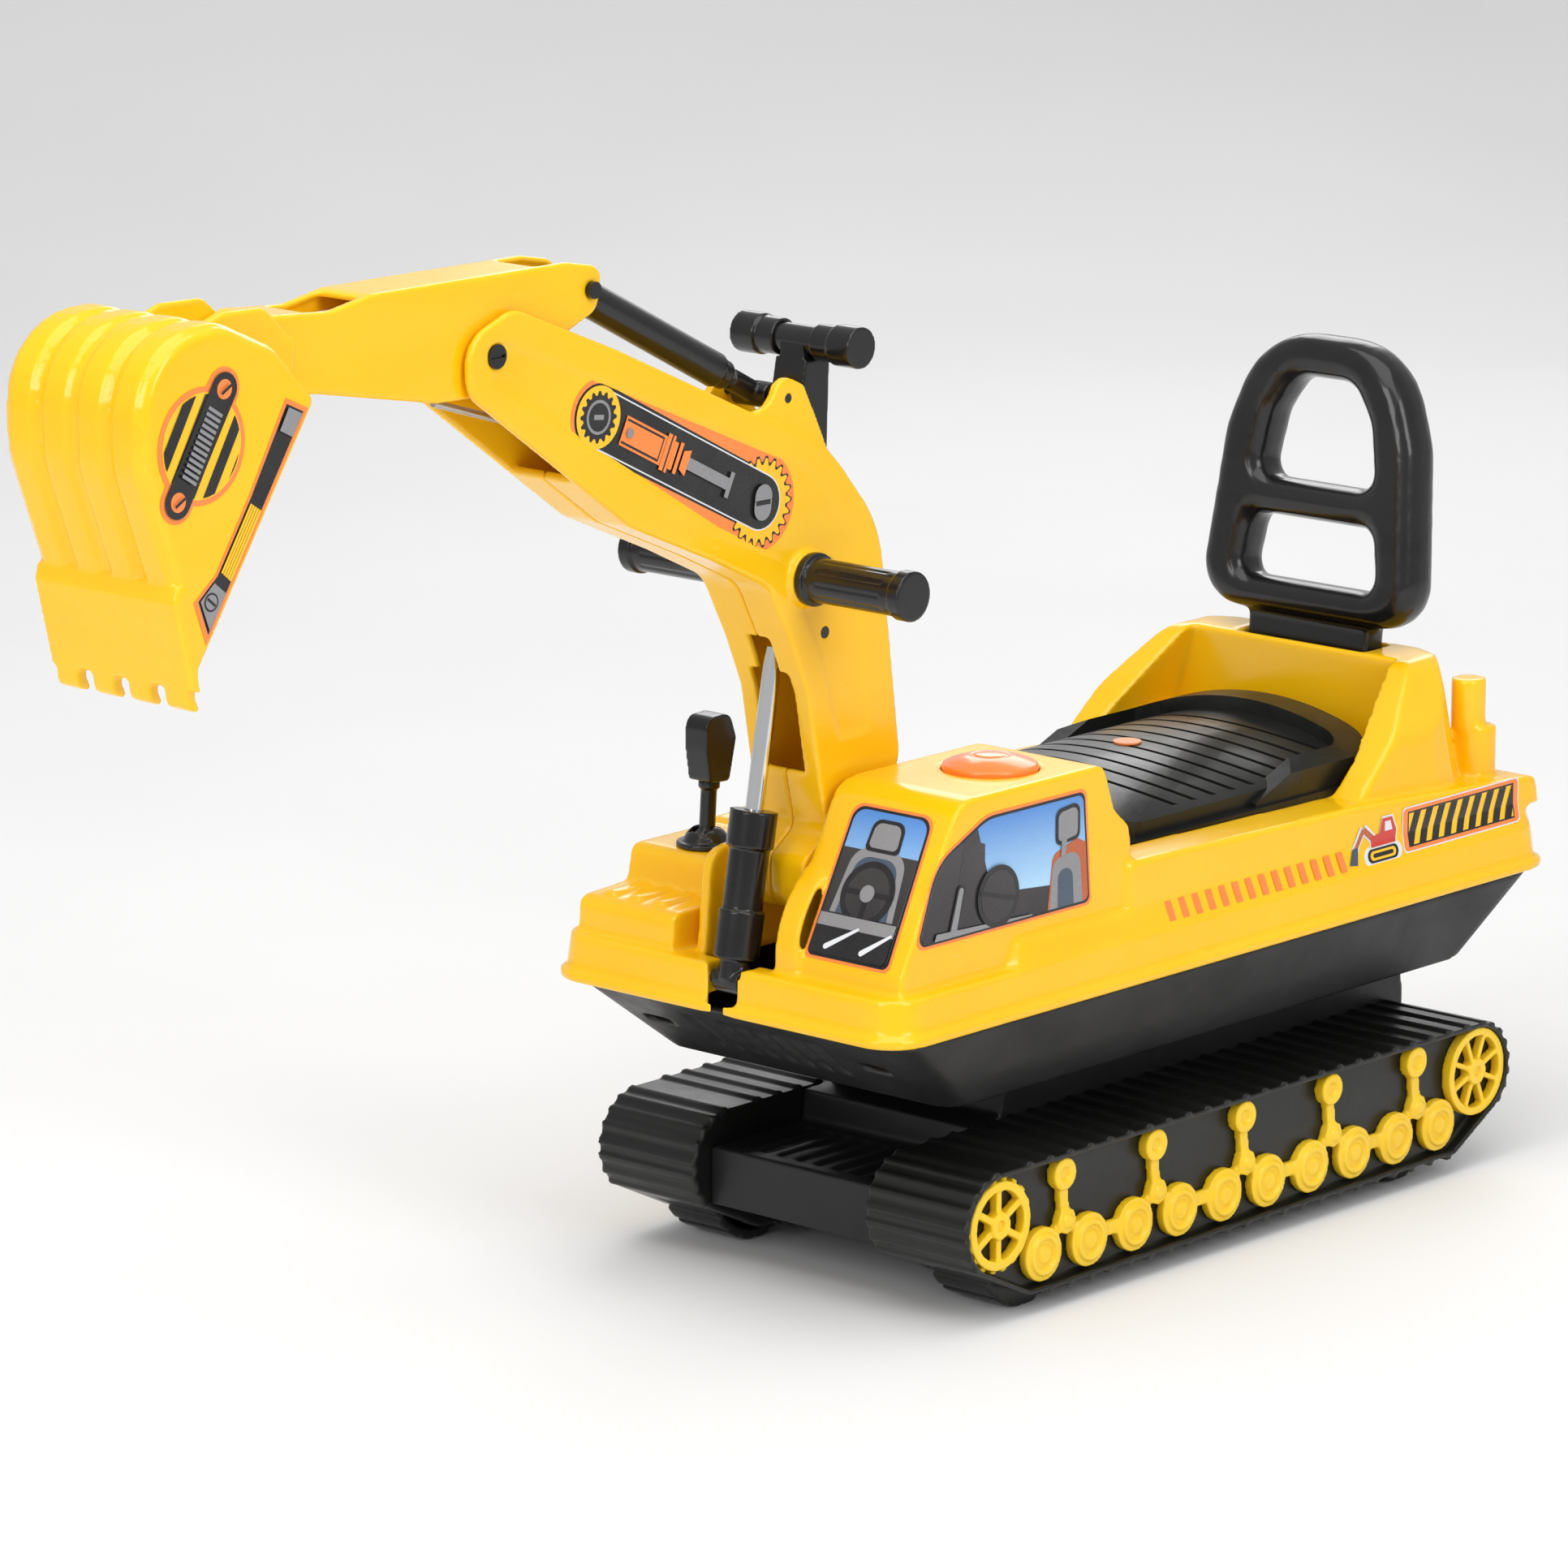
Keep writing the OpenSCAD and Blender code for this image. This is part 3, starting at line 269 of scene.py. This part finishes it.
# Turned pins, rods and the lid keep their exact faces, and only their edges are broken
PIN_BEVEL = 0.3
LID_BEVEL = 0.8
for name in ("lift_rod", "tip_pin", "ear_pin", "dipper_pin", "bucket_pin", "lever_bar", "push_rod",
             "bucket_rod", "seat_plug", "seat_lid"):
    bevel = NODES[name].modifiers.new("bevel", "BEVEL")
    bevel.width = (LID_BEVEL if name == "seat_lid" else PIN_BEVEL) * MM
    bevel.segments = 2


# ---------------------------------------------------------------- outlines for printed stickers

def disc(x, y, r, steps=40):
    """Circle of radius r round a point."""
    return [(x + r * math.cos(2 * math.pi * i / steps), y + r * math.sin(2 * math.pi * i / steps))
            for i in range(steps)]


def gear(x, y, r, teeth, depth):
    """Square-toothed wheel: r is its outer radius and depth the height of a tooth."""
    out = []
    for i in range(teeth * 4):
        radius = r if i % 4 in (0, 1) else r - depth
        turn = 2 * math.pi * (i + 0.5) / (teeth * 4)
        out.append((x + radius * math.cos(turn), y + radius * math.sin(turn)))
    return out


def link(a, b, ra, rb, steps=14):
    """Rounded bar between two points with a radius of its own at each end."""
    lean = math.atan2(b[1] - a[1], b[0] - a[0])
    out = []
    for centre, radius, start in ((b, rb, lean - math.pi / 2), (a, ra, lean + math.pi / 2)):
        for i in range(steps + 1):
            turn = start + math.pi * i / steps
            out.append((centre[0] + radius * math.cos(turn), centre[1] + radius * math.sin(turn)))
    return out


def bar(a, b, w0, w1=None):
    """Straight bar from a to b, w0 wide at a and w1 at b."""
    w1 = w0 if w1 is None else w1
    d = Vector((b[0] - a[0], b[1] - a[1])).normalized()
    n = Vector((-d.y, d.x))
    return [(a[0] - n.x * w0 / 2, a[1] - n.y * w0 / 2), (b[0] - n.x * w1 / 2, b[1] - n.y * w1 / 2),
            (b[0] + n.x * w1 / 2, b[1] + n.y * w1 / 2), (a[0] + n.x * w0 / 2, a[1] + n.y * w0 / 2)]


def rounded(points, steps=6):
    """Outline whose corners are rounded; each point is (x, y, radius)."""
    out = []
    for i, (x, y, r) in enumerate(points):
        q = Vector((x, y))
        if not r:
            out.append((x, y))
            continue
        a = (Vector(points[i - 1][:2]) - q).normalized()
        b = (Vector(points[(i + 1) % len(points)][:2]) - q).normalized()
        half = a.angle(b) / 2
        c = q + (a + b).normalized() * r / math.sin(half)
        t, u = q + a * r / math.tan(half) - c, q + b * r / math.tan(half) - c
        sweep = t.angle_signed(u)
        start = math.atan2(t.y, t.x)
        for k in range(steps + 1):
            turn = start - sweep * k / steps
            out.append((c.x + r * math.cos(turn), c.y + r * math.sin(turn)))
    return out


def inside(points, centre, gap):
    """The outline drawn in by a gap towards its centre on both axes."""
    xs, ys = [p[0] for p in points], [p[1] for p in points]
    wide, tall = (max(xs) - min(xs)) / 2, (max(ys) - min(ys)) / 2
    cx, cy = centre
    return [(cx + (x - cx) * (1 - gap / wide), cy + (y - cy) * (1 - gap / tall)) for x, y in points]


def middle(points):
    """Middle of the box round an outline."""
    xs, ys = [p[0] for p in points], [p[1] for p in points]
    return (max(xs) + min(xs)) / 2, (max(ys) + min(ys)) / 2


def clip(points, keep):
    """The part of an outline where keep(x, y) is positive; keep is linear."""
    out = []
    for i, p in enumerate(points):
        q = points[i - 1]
        kp, kq = keep(*p), keep(*q)
        if (kp > 0) != (kq > 0):
            f = kq / (kq - kp)
            out.append((q[0] + (p[0] - q[0]) * f, q[1] + (p[1] - q[1]) * f))
        if kp > 0:
            out.append(p)
    return out


def within(points, window):
    """The part of an outline inside a convex window."""
    cx, cy = sum(p[0] for p in window) / len(window), sum(p[1] for p in window) / len(window)
    for i, b in enumerate(window):
        a = window[i - 1]
        if math.dist(a, b) < 1e-6:
            continue

        def side(x, y, a=a, b=b):
            return (b[0] - a[0]) * (y - a[1]) - (b[1] - a[1]) * (x - a[0])
        sign = 1 if side(cx, cy) > 0 else -1
        points = clip(points, lambda x, y: sign * side(x, y))
        if len(points) < 3:
            return []
    return points


def sticker(name, body, onto, layers, film=0.1, start=0.15):
    """Stacks thin printed outlines; onto(a, b, lift) gives a point in millimetres."""
    mesh = bmesh.new()
    materials = []
    for level, (points, material) in enumerate(layers):
        if len(points) < 3:
            continue
        if material not in materials:
            materials.append(material)
        low, high = start + film * level, start + film * (level + 1)
        rings = [[mesh.verts.new(place(*onto(a, b, lift))) for a, b in points] for lift in (low, high)]
        faces = [mesh.faces.new(ring) for ring in rings]
        for i in range(len(points)):
            faces.append(mesh.faces.new((rings[0][i - 1], rings[0][i], rings[1][i], rings[1][i - 1])))
        bmesh.ops.recalc_face_normals(mesh, faces=faces)
        for face in faces:
            face.material_index = materials.index(material)
    bmesh.ops.triangulate(mesh, faces=[f for f in mesh.faces if len(f.verts) > 4])
    data = bpy.data.meshes.new(name)
    mesh.to_mesh(data)
    mesh.free()
    for material in materials:
        data.materials.append(material)
    piece = bpy.data.objects.new(name, data)
    bpy.context.scene.collection.objects.link(piece)
    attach(piece, body)
    return piece


# Every sided sticker is made twice: on the left, where y is positive, and on the right
SIDES = (("left", 1), ("right", -1))


# ---------------------------------------------------------------- stickers of the arm

def beside(y):
    """Plane facing sideways at y; a negative y faces right."""
    return lambda a, b, lift: (a, y + math.copysign(lift, y), b)


# Where the printed faces of the arm lie, in millimetres from the middle of the toy
BOOM_FACE = 24.05
BUCKET_FACE = 49.05

SMALL_GEAR = (405, 507)
BIG_GEAR = (281, 445)


def boom_layers():
    """Two gears in one border, joined by a drawing of a cylinder with its rod."""
    a, b = Vector(SMALL_GEAR), Vector(BIG_GEAR)
    along = (b - a).normalized()
    across = Vector((-along.y, along.x))

    length = (b - a).length

    def at(s, t=0.0):
        """The point s from the small gear towards the big one, and t to its side."""
        return tuple(a + along * s + across * t)

    border = [(link(a, b, 20, 26.5), RIM), (link(a, b, 17.5, 16), INK),
              (gear(*BIG_GEAR, 24.5, 22, 3.2), INK), (gear(*BIG_GEAR, 23.2, 22, 3.6), AMBER),
              (link(at(4), b, 15.6, 15.2), PALE), (link(at(4), b, 14.8, 14.4), INK)]
    small_gear = [(disc(*SMALL_GEAR, 16.4), AMBER), (gear(*SMALL_GEAR, 13.6, 16, 2.2), INK),
                  (disc(*SMALL_GEAR, 9), GREY), (disc(*SMALL_GEAR, 7.4), INK),
                  (bar(at(-3.4, 1.2), at(3.4, -1.2), 2.6), GREY)]
    barrel = [(bar(at(20), at(54), 16), RIM), (bar(at(21), at(52), 13.4), INK),
              (bar(at(20), at(51), 11), RIM), (bar(at(54), at(60), 20), RIM),
              (bar(at(57), at(58), 21), INK), (bar(at(60), at(63), 15), RIM),
              (bar(at(64.5), at(67), 17), RIM), (bar(at(68.5), at(74), 10, 14), RIM)]
    rod = [(bar(at(74), at(108), 6.5), GREY), (bar(at(108), at(111), 14), GREY), (disc(*at(25), 2.6), GREY)]
    hub = [(link(at(length - 1, -3), at(length + 1, 3), 6.5, 6.5), GREY),
           (bar(at(length - 5, 2.4), at(length + 5, -2.4), 2.6), INK)]
    return border + small_gear + barrel + rod + hub


for word, side in SIDES:
    sticker("boom_sticker_" + word, "boom", beside(BOOM_FACE * side), boom_layers())


def bucket_layers():
    """Striped disc under a link with a roller chain."""
    centre = Vector((709, 537))
    top, foot = Vector((694, 563)), Vector((726, 512))
    window = disc(*centre, 25.4)
    layers = [(disc(*centre, 29), RIM), (link(top, foot, 10.8, 10.8), RIM), (disc(*centre, 26.2), AMBER)]
    stripe_gap = 13.5
    stripe_run = Vector((20, -34))
    for k in range(-2, 4):
        mid = centre + Vector((k * stripe_gap - 5, 0))
        strip = bar(tuple(mid + stripe_run), tuple(mid - stripe_run), 6.2)
        layers.append((within(strip, window), INK))
    layers += [(link(top, foot, 8.4, 8.4), INK), (disc(*top, 4.9), RIM), (disc(*foot, 4.9), RIM)]
    run = foot - top
    lean = run.normalized()
    across = Vector((-lean.y, lean.x)) * 5.2
    for i in range(13):
        mid = top + run * (0.2 + 0.05 * i)
        layers.append((bar(tuple(mid - across), tuple(mid + across), 1.7), GREY))
    for end in (top, foot):
        layers.append((bar(tuple(end + Vector((-3.2, 1.8))), tuple(end + Vector((3.2, -1.8))), 1.5), INK))
    return layers


def edge_layers():
    """Strip along the bucket's mouth, wide at the foot and pointed at the cutting edge."""
    near = Vector((637, 546)), Vector((708, 439))
    far = [(0.0, Vector((652, 553))), (0.42, Vector((678, 508))), (0.76, Vector((701, 473))),
           (0.9, Vector((716, 461))), (1.0, Vector((716, 450)))]

    def at(f, g):
        """f runs down the strip and g across it, away from the mouth."""
        low, high = [pair for pair in zip(far, far[1:]) if pair[0][0] <= f][-1]
        left = low[1].lerp(high[1], (f - low[0]) / (high[0] - low[0]))
        return tuple(near[0].lerp(near[1], f).lerp(left, g))

    outer = [at(0, 0), at(0, 1), at(0.42, 1), at(0.76, 1), at(0.9, 1), at(1, 0)]
    field = [at(0.02, 0.13), at(0.02, 0.88), at(0.42, 0.88), at(0.76, 0.88), at(0.885, 0.9), at(0.965, 0.12)]
    layers = [(outer, RIM), (field, INK)]
    for g in (0.2, 0.34, 0.48, 0.62, 0.76):
        layers.append((bar(at(0.44, g), at(0.74, g), 1.4), AMBER))
    tip = [at(0.79, 0.16), at(0.79, 0.85), at(0.88, 0.87), at(0.95, 0.16)]
    head = [at(0.03, 0.2), at(0.03, 0.8), at(0.13, 0.8), at(0.13, 0.2)]
    bolt = (705, 460)
    slot = bar((bolt[0] - 2.6, bolt[1] - 2.2), (bolt[0] + 2.6, bolt[1] + 2.2), 1.4)
    layers += [(tip, GREY), (disc(*bolt, 4.7), INK), (disc(*bolt, 3.7), GREY), (slot, INK), (head, GREY)]
    return layers


for word, side in SIDES:
    sticker("bucket_sticker_" + word, "scoop", beside(BUCKET_FACE * side), bucket_layers())
    sticker("bucket_edge_" + word, "scoop", beside(BUCKET_FACE * side), edge_layers())


# ---------------------------------------------------------------- windows of the cab

CAB_FACE = 116.05


def window_layers(outline, scenery):
    """Orange and black border round a blue sky, with printed scenery inside."""
    centre = middle(outline)
    glass = inside(outline, centre, 3.2)
    layers = [(outline, RIM), (inside(outline, centre, 1.6), INK), (glass, SKY)]
    for points, material in scenery:
        layers.append((within(points, glass), material))
    return layers


SIDE_WINDOW = rounded([(262, 213, 5), (117, 213, 4), (122, 278, 5), (204, 278, 30), (246, 258, 34)])
# The cabin's shade, an empty seat, a lever and a steering wheel
SIDE_SCENE = [
    ([(270, 205), (110, 205), (110, 226), (200, 234), (214, 278), (270, 278)], SHADE),
    ([(236, 205), (206, 205), (206, 262), (222, 268)], SHADE),
    (rounded([(156, 205, 0), (118, 205, 0), (118, 246, 4), (130, 252, 6), (150, 246, 6)]), RUST),
    (rounded([(154, 205, 0), (124, 205, 0), (128, 246, 8), (150, 243, 8)]), GREY),
    (rounded([(146, 205, 0), (132, 205, 0), (134, 238, 6), (146, 236, 5)]), STEEL_BLUE),
    (rounded([(148, 250, 4), (128, 252, 4), (128, 272, 5), (148, 270, 5)]), INK),
    (rounded([(146, 252, 3), (130, 254, 3), (130, 270, 4), (146, 268, 4)]), GREY),
    (bar((142, 244), (141, 254), 4), GREY),
    (link((236, 205), (226, 240), 4, 3), INK), (link((236, 205), (226, 240), 2.8, 1.8), GREY),
    (link((212, 206), (190, 232), 2.2, 2.2), PALE),
    ([(252, 205), (170, 205), (168, 217), (246, 220)], GREY),
    (disc(196, 232, 17), INK), (disc(196, 232, 14), SHADE), (bar((181, 228), (211, 236), 2.6), INK),
]
sticker("cab_window_left", "chassis", beside(CAB_FACE), window_layers(SIDE_WINDOW, SIDE_SCENE))

SLOPE_FOOT, SLOPE_TOP = Vector((272, 200)), Vector((226, 288))
SLOPE = (SLOPE_TOP - SLOPE_FOOT).normalized()


def windshield(a, b, lift):
    """a runs across and b up the sloping front of the cab."""
    return (SLOPE_FOOT.x + SLOPE.x * b + SLOPE.y * lift, a, SLOPE_FOOT.y + SLOPE.y * b - SLOPE.x * lift)


FRONT_WINDOW = rounded([(46, 1.5, 4), (106, 1.5, 4), (104, 89, 8), (47, 89, 8)])
# The same empty seat from the front, behind a steering wheel, a dashboard and two wipers
FRONT_SCENE = [
    ([(30, 0), (120, 0), (120, 64), (30, 64)], SHADE),
    (rounded([(54, 28, 0), (98, 28, 0), (94, 66, 12), (58, 66, 12)]), GREY),
    (rounded([(58, 28, 0), (94, 28, 0), (90, 61, 10), (62, 61, 10)]), STEEL_BLUE),
    (rounded([(64, 64, 3), (88, 64, 3), (87, 82, 6), (65, 82, 6)]), INK),
    (rounded([(66, 66, 3), (86, 66, 3), (85, 80, 5), (67, 80, 5)]), GREY),
    (disc(76, 41, 18), INK), (disc(76, 41, 14.4), SHADE), (bar((59, 41), (93, 41), 3), INK),
    (bar((76, 41), (76, 24), 3), INK), (disc(76, 41, 4.8), GREY),
    ([(30, 20), (120, 20), (120, 27), (30, 27)], GREY), ([(30, 0), (120, 0), (120, 20), (30, 20)], INK),
    (link((60, 9), (78, 21), 1.6, 0.8), PALE), (link((85, 9), (101, 21), 1.6, 0.8), PALE),
]
sticker("cab_window_front", "chassis", windshield, window_layers(FRONT_WINDOW, FRONT_SCENE))


# ---------------------------------------------------------------- stickers of the deck's sides

# The deck's side leans in from its foot to the top of a band, and is upright above
BAND_FOOT = 190
BAND_TOP = 204.0
BAND_FACE = 122.2
BAND_LEAN = 0.196
PANEL_FACE = 119.45
THIN_FILM = 0.02

# The softened ledge under the stickers would hide their foot, so they are printed this much higher
STICKER_RAISE = 2.6


def on_band(side):
    """Surface of the deck's side, for points given by their x and their height."""
    def onto(a, b, lift):
        y = BAND_FACE - (b - BAND_FOOT) * BAND_LEAN if b <= BAND_TOP else PANEL_FACE
        return (a, side * (y + lift), b)
    return onto


def bent(layers):
    """Raises each outline, and splits it where the side bends, so that both parts lie flat."""
    out = []
    for points, material in layers:
        points = [(x, y + STICKER_RAISE) for x, y in points]
        out.append((clip(points, lambda x, y: BAND_TOP - y), material))
        out.append((clip(points, lambda x, y: y - BAND_TOP), material))
    return out


def stripe_layers():
    """A row of slanted stripes along the side of the seat."""
    first, pitch = 56, 11.6
    out = []
    for i in range(14):
        x = first - pitch * i
        out.append(([(x, 190), (x - 5.4, 190), (x - 2.4, 201.5), (x + 3.0, 201.5)], RIM))
    return out


def icon_layers():
    """A plain excavator: tracks, cab, arm and bucket."""
    cab = [(-124, 199), (-146, 199), (-147, 206), (-143, 214), (-134, 214), (-132, 206), (-124, 205)]
    window = [(-136.5, 206.5), (-143.5, 206.5), (-141.5, 212), (-136.5, 212)]
    bucket = [(-112, 201), (-107, 201), (-103, 192.5), (-110, 191.5)]
    outline = [(link((-122, 194.2), (-146, 194.2), 5.2, 5.2), PALE), (bar((-127, 203), (-117, 211), 6), PALE),
               (bar((-117, 211), (-109, 199), 6), PALE), (inside(cab, middle(cab), -1.2), PALE)]
    tracks = [(link((-124, 194.2), (-144, 194.2), 3.9, 3.9), INK),
              (link((-125, 194.2), (-143, 194.2), 2.6, 2.6), AMBER),
              (link((-126, 194.2), (-142, 194.2), 1.2, 1.2), INK)]
    arm = [(bar((-127, 203), (-117, 210.5), 3.6), RUST), (bar((-117, 210.5), (-110, 200), 3), RUST)]
    return outline + tracks + arm + [(cab, RED), (window, PALE), (bucket, STEEL_BLUE)]


def plate_layers():
    """Orange plate with a field of hazard stripes."""
    plate = rounded([(-153, 190.5, 3), (-262, 190.5, 3), (-262, 216.5, 3), (-153, 216.5, 3)], 4)
    field = [(-158, 193.4), (-257, 193.4), (-257, 213.6), (-158, 213.6)]
    window = inside(field, middle(field), 1.0)
    layers = [(plate, PALE), (inside(plate, middle(plate), 0.8), RIM), (field, INK), (window, AMBER)]
    first, pitch = -163, 11.4
    for i in range(9):
        x = first - pitch * i
        layers.append((within([(x + 9, 190), (x + 2.6, 190), (x - 9, 217), (x - 2.6, 217)], window), INK))
    return layers


for word, side in SIDES:
    sticker("side_stripes_" + word, "chassis", on_band(side), bent(stripe_layers()), film=THIN_FILM)
    sticker("side_icon_" + word, "chassis", on_band(side), bent(icon_layers()), film=THIN_FILM)
    sticker("side_plate_" + word, "chassis", on_band(side), bent(plate_layers()), film=THIN_FILM)


# ---------------------------------------------------------------- studio

# Where the photo was taken from, solved from the photo: the direction from the toy to the camera,
# the point looked at and the distance, in metres, and the lens and sensor in millimetres
VIEW_BACK = (0.7252, 0.6507, 0.2250)
VIEW_TARGET = (0.0063, 0.0, 0.2816)
VIEW_DISTANCE = 4.198
LENS = 180
SENSOR = 36

# The floor runs flat away from the camera, turns up in a quarter circle, and ends as a wall
FLOOR_STEP = 0.35
FLOOR_START = -4.0
FLAT_ROWS = 20
CURVE_ROWS = 12
WALL_ROWS = 8
CURVE_RADIUS = 1.5
WALL_STEP = 0.4
HALF_WIDTH = 9.0

# Name, place, width and height, power in watts
LAMPS = [
    ("top_soft", (0.5, 0.4, 2.6), (2.6, 2.6), 42),
    ("key_left", (0.4, 3.0, 1.9), (1.2, 1.8), 31),
    ("key_front", (3.2, 0.2, 1.7), (1.3, 1.5), 30),
    ("fill_rear", (-2.4, -1.6, 1.8), (1.4, 1.4), 16),
]
LAMP_AIM = (0.0, 0.0, 0.25)
SKY_STRENGTH = 0.52


def add_floor():
    data = bpy.data.meshes.new("floor")
    mesh = bmesh.new()
    rows = []
    east, north, _ = VIEW_BACK
    for i in range(FLAT_ROWS + CURVE_ROWS + WALL_ROWS + 1):
        turn = math.pi / 2 * max(0.0, min(1.0, (i - FLAT_ROWS) / CURVE_ROWS))
        flat = min(i, FLAT_ROWS) * FLOOR_STEP + FLOOR_START
        back = flat + CURVE_RADIUS * math.sin(turn)
        up = CURVE_RADIUS * (1 - math.cos(turn)) + max(0, i - FLAT_ROWS - CURVE_ROWS) * WALL_STEP
        rows.append([mesh.verts.new((-(east * back - north * w), -(north * back + east * w), up))
                     for w in (-HALF_WIDTH, HALF_WIDTH)])
    for a, b in zip(rows, rows[1:]):
        mesh.faces.new((a[0], a[1], b[1], b[0]))
    bmesh.ops.recalc_face_normals(mesh, faces=mesh.faces)
    mesh.to_mesh(data)
    mesh.free()
    for face in data.polygons:
        face.use_smooth = True
    n = Nodes("pale_floor")
    n.link(n.ramp(n.noise(3, 2), [(0.3, 0.86), (0.7, 0.88)]), n.shader.inputs["Base Color"])
    n.set(Roughness=0.9, Specular_IOR_Level=0.1)
    data.materials.append(n.mat)
    floor = bpy.data.objects.new("floor", data)
    bpy.context.scene.collection.objects.link(floor)


def add_lamp(name, at, size, power):
    light = bpy.data.lights.new(name, "AREA")
    light.shape = "RECTANGLE"
    light.size, light.size_y = size
    light.energy = power
    piece = bpy.data.objects.new(name, light)
    piece.location = at
    piece.rotation_euler = (Vector(LAMP_AIM) - Vector(at)).to_track_quat("-Z", "Y").to_euler()
    bpy.context.scene.collection.objects.link(piece)


def add_sky():
    world = bpy.data.worlds.new("studio")
    world.use_nodes = True
    sky = world.node_tree.nodes["Background"]
    sky.inputs["Color"].default_value = (1, 1, 1, 1)
    sky.inputs["Strength"].default_value = SKY_STRENGTH
    bpy.context.scene.world = world
    bpy.context.scene.view_settings.view_transform = "Standard"


def add_camera():
    back = Vector(VIEW_BACK)
    data = bpy.data.cameras.new("camera")
    data.sensor_width = SENSOR
    data.lens = LENS
    piece = bpy.data.objects.new("camera", data)
    piece.location = Vector(VIEW_TARGET) + back * VIEW_DISTANCE
    piece.rotation_euler = (-back).to_track_quat("-Z", "Y").to_euler()
    bpy.context.scene.collection.objects.link(piece)
    bpy.context.scene.camera = piece


add_floor()
for lamp in LAMPS:
    add_lamp(*lamp)
add_sky()
add_camera()
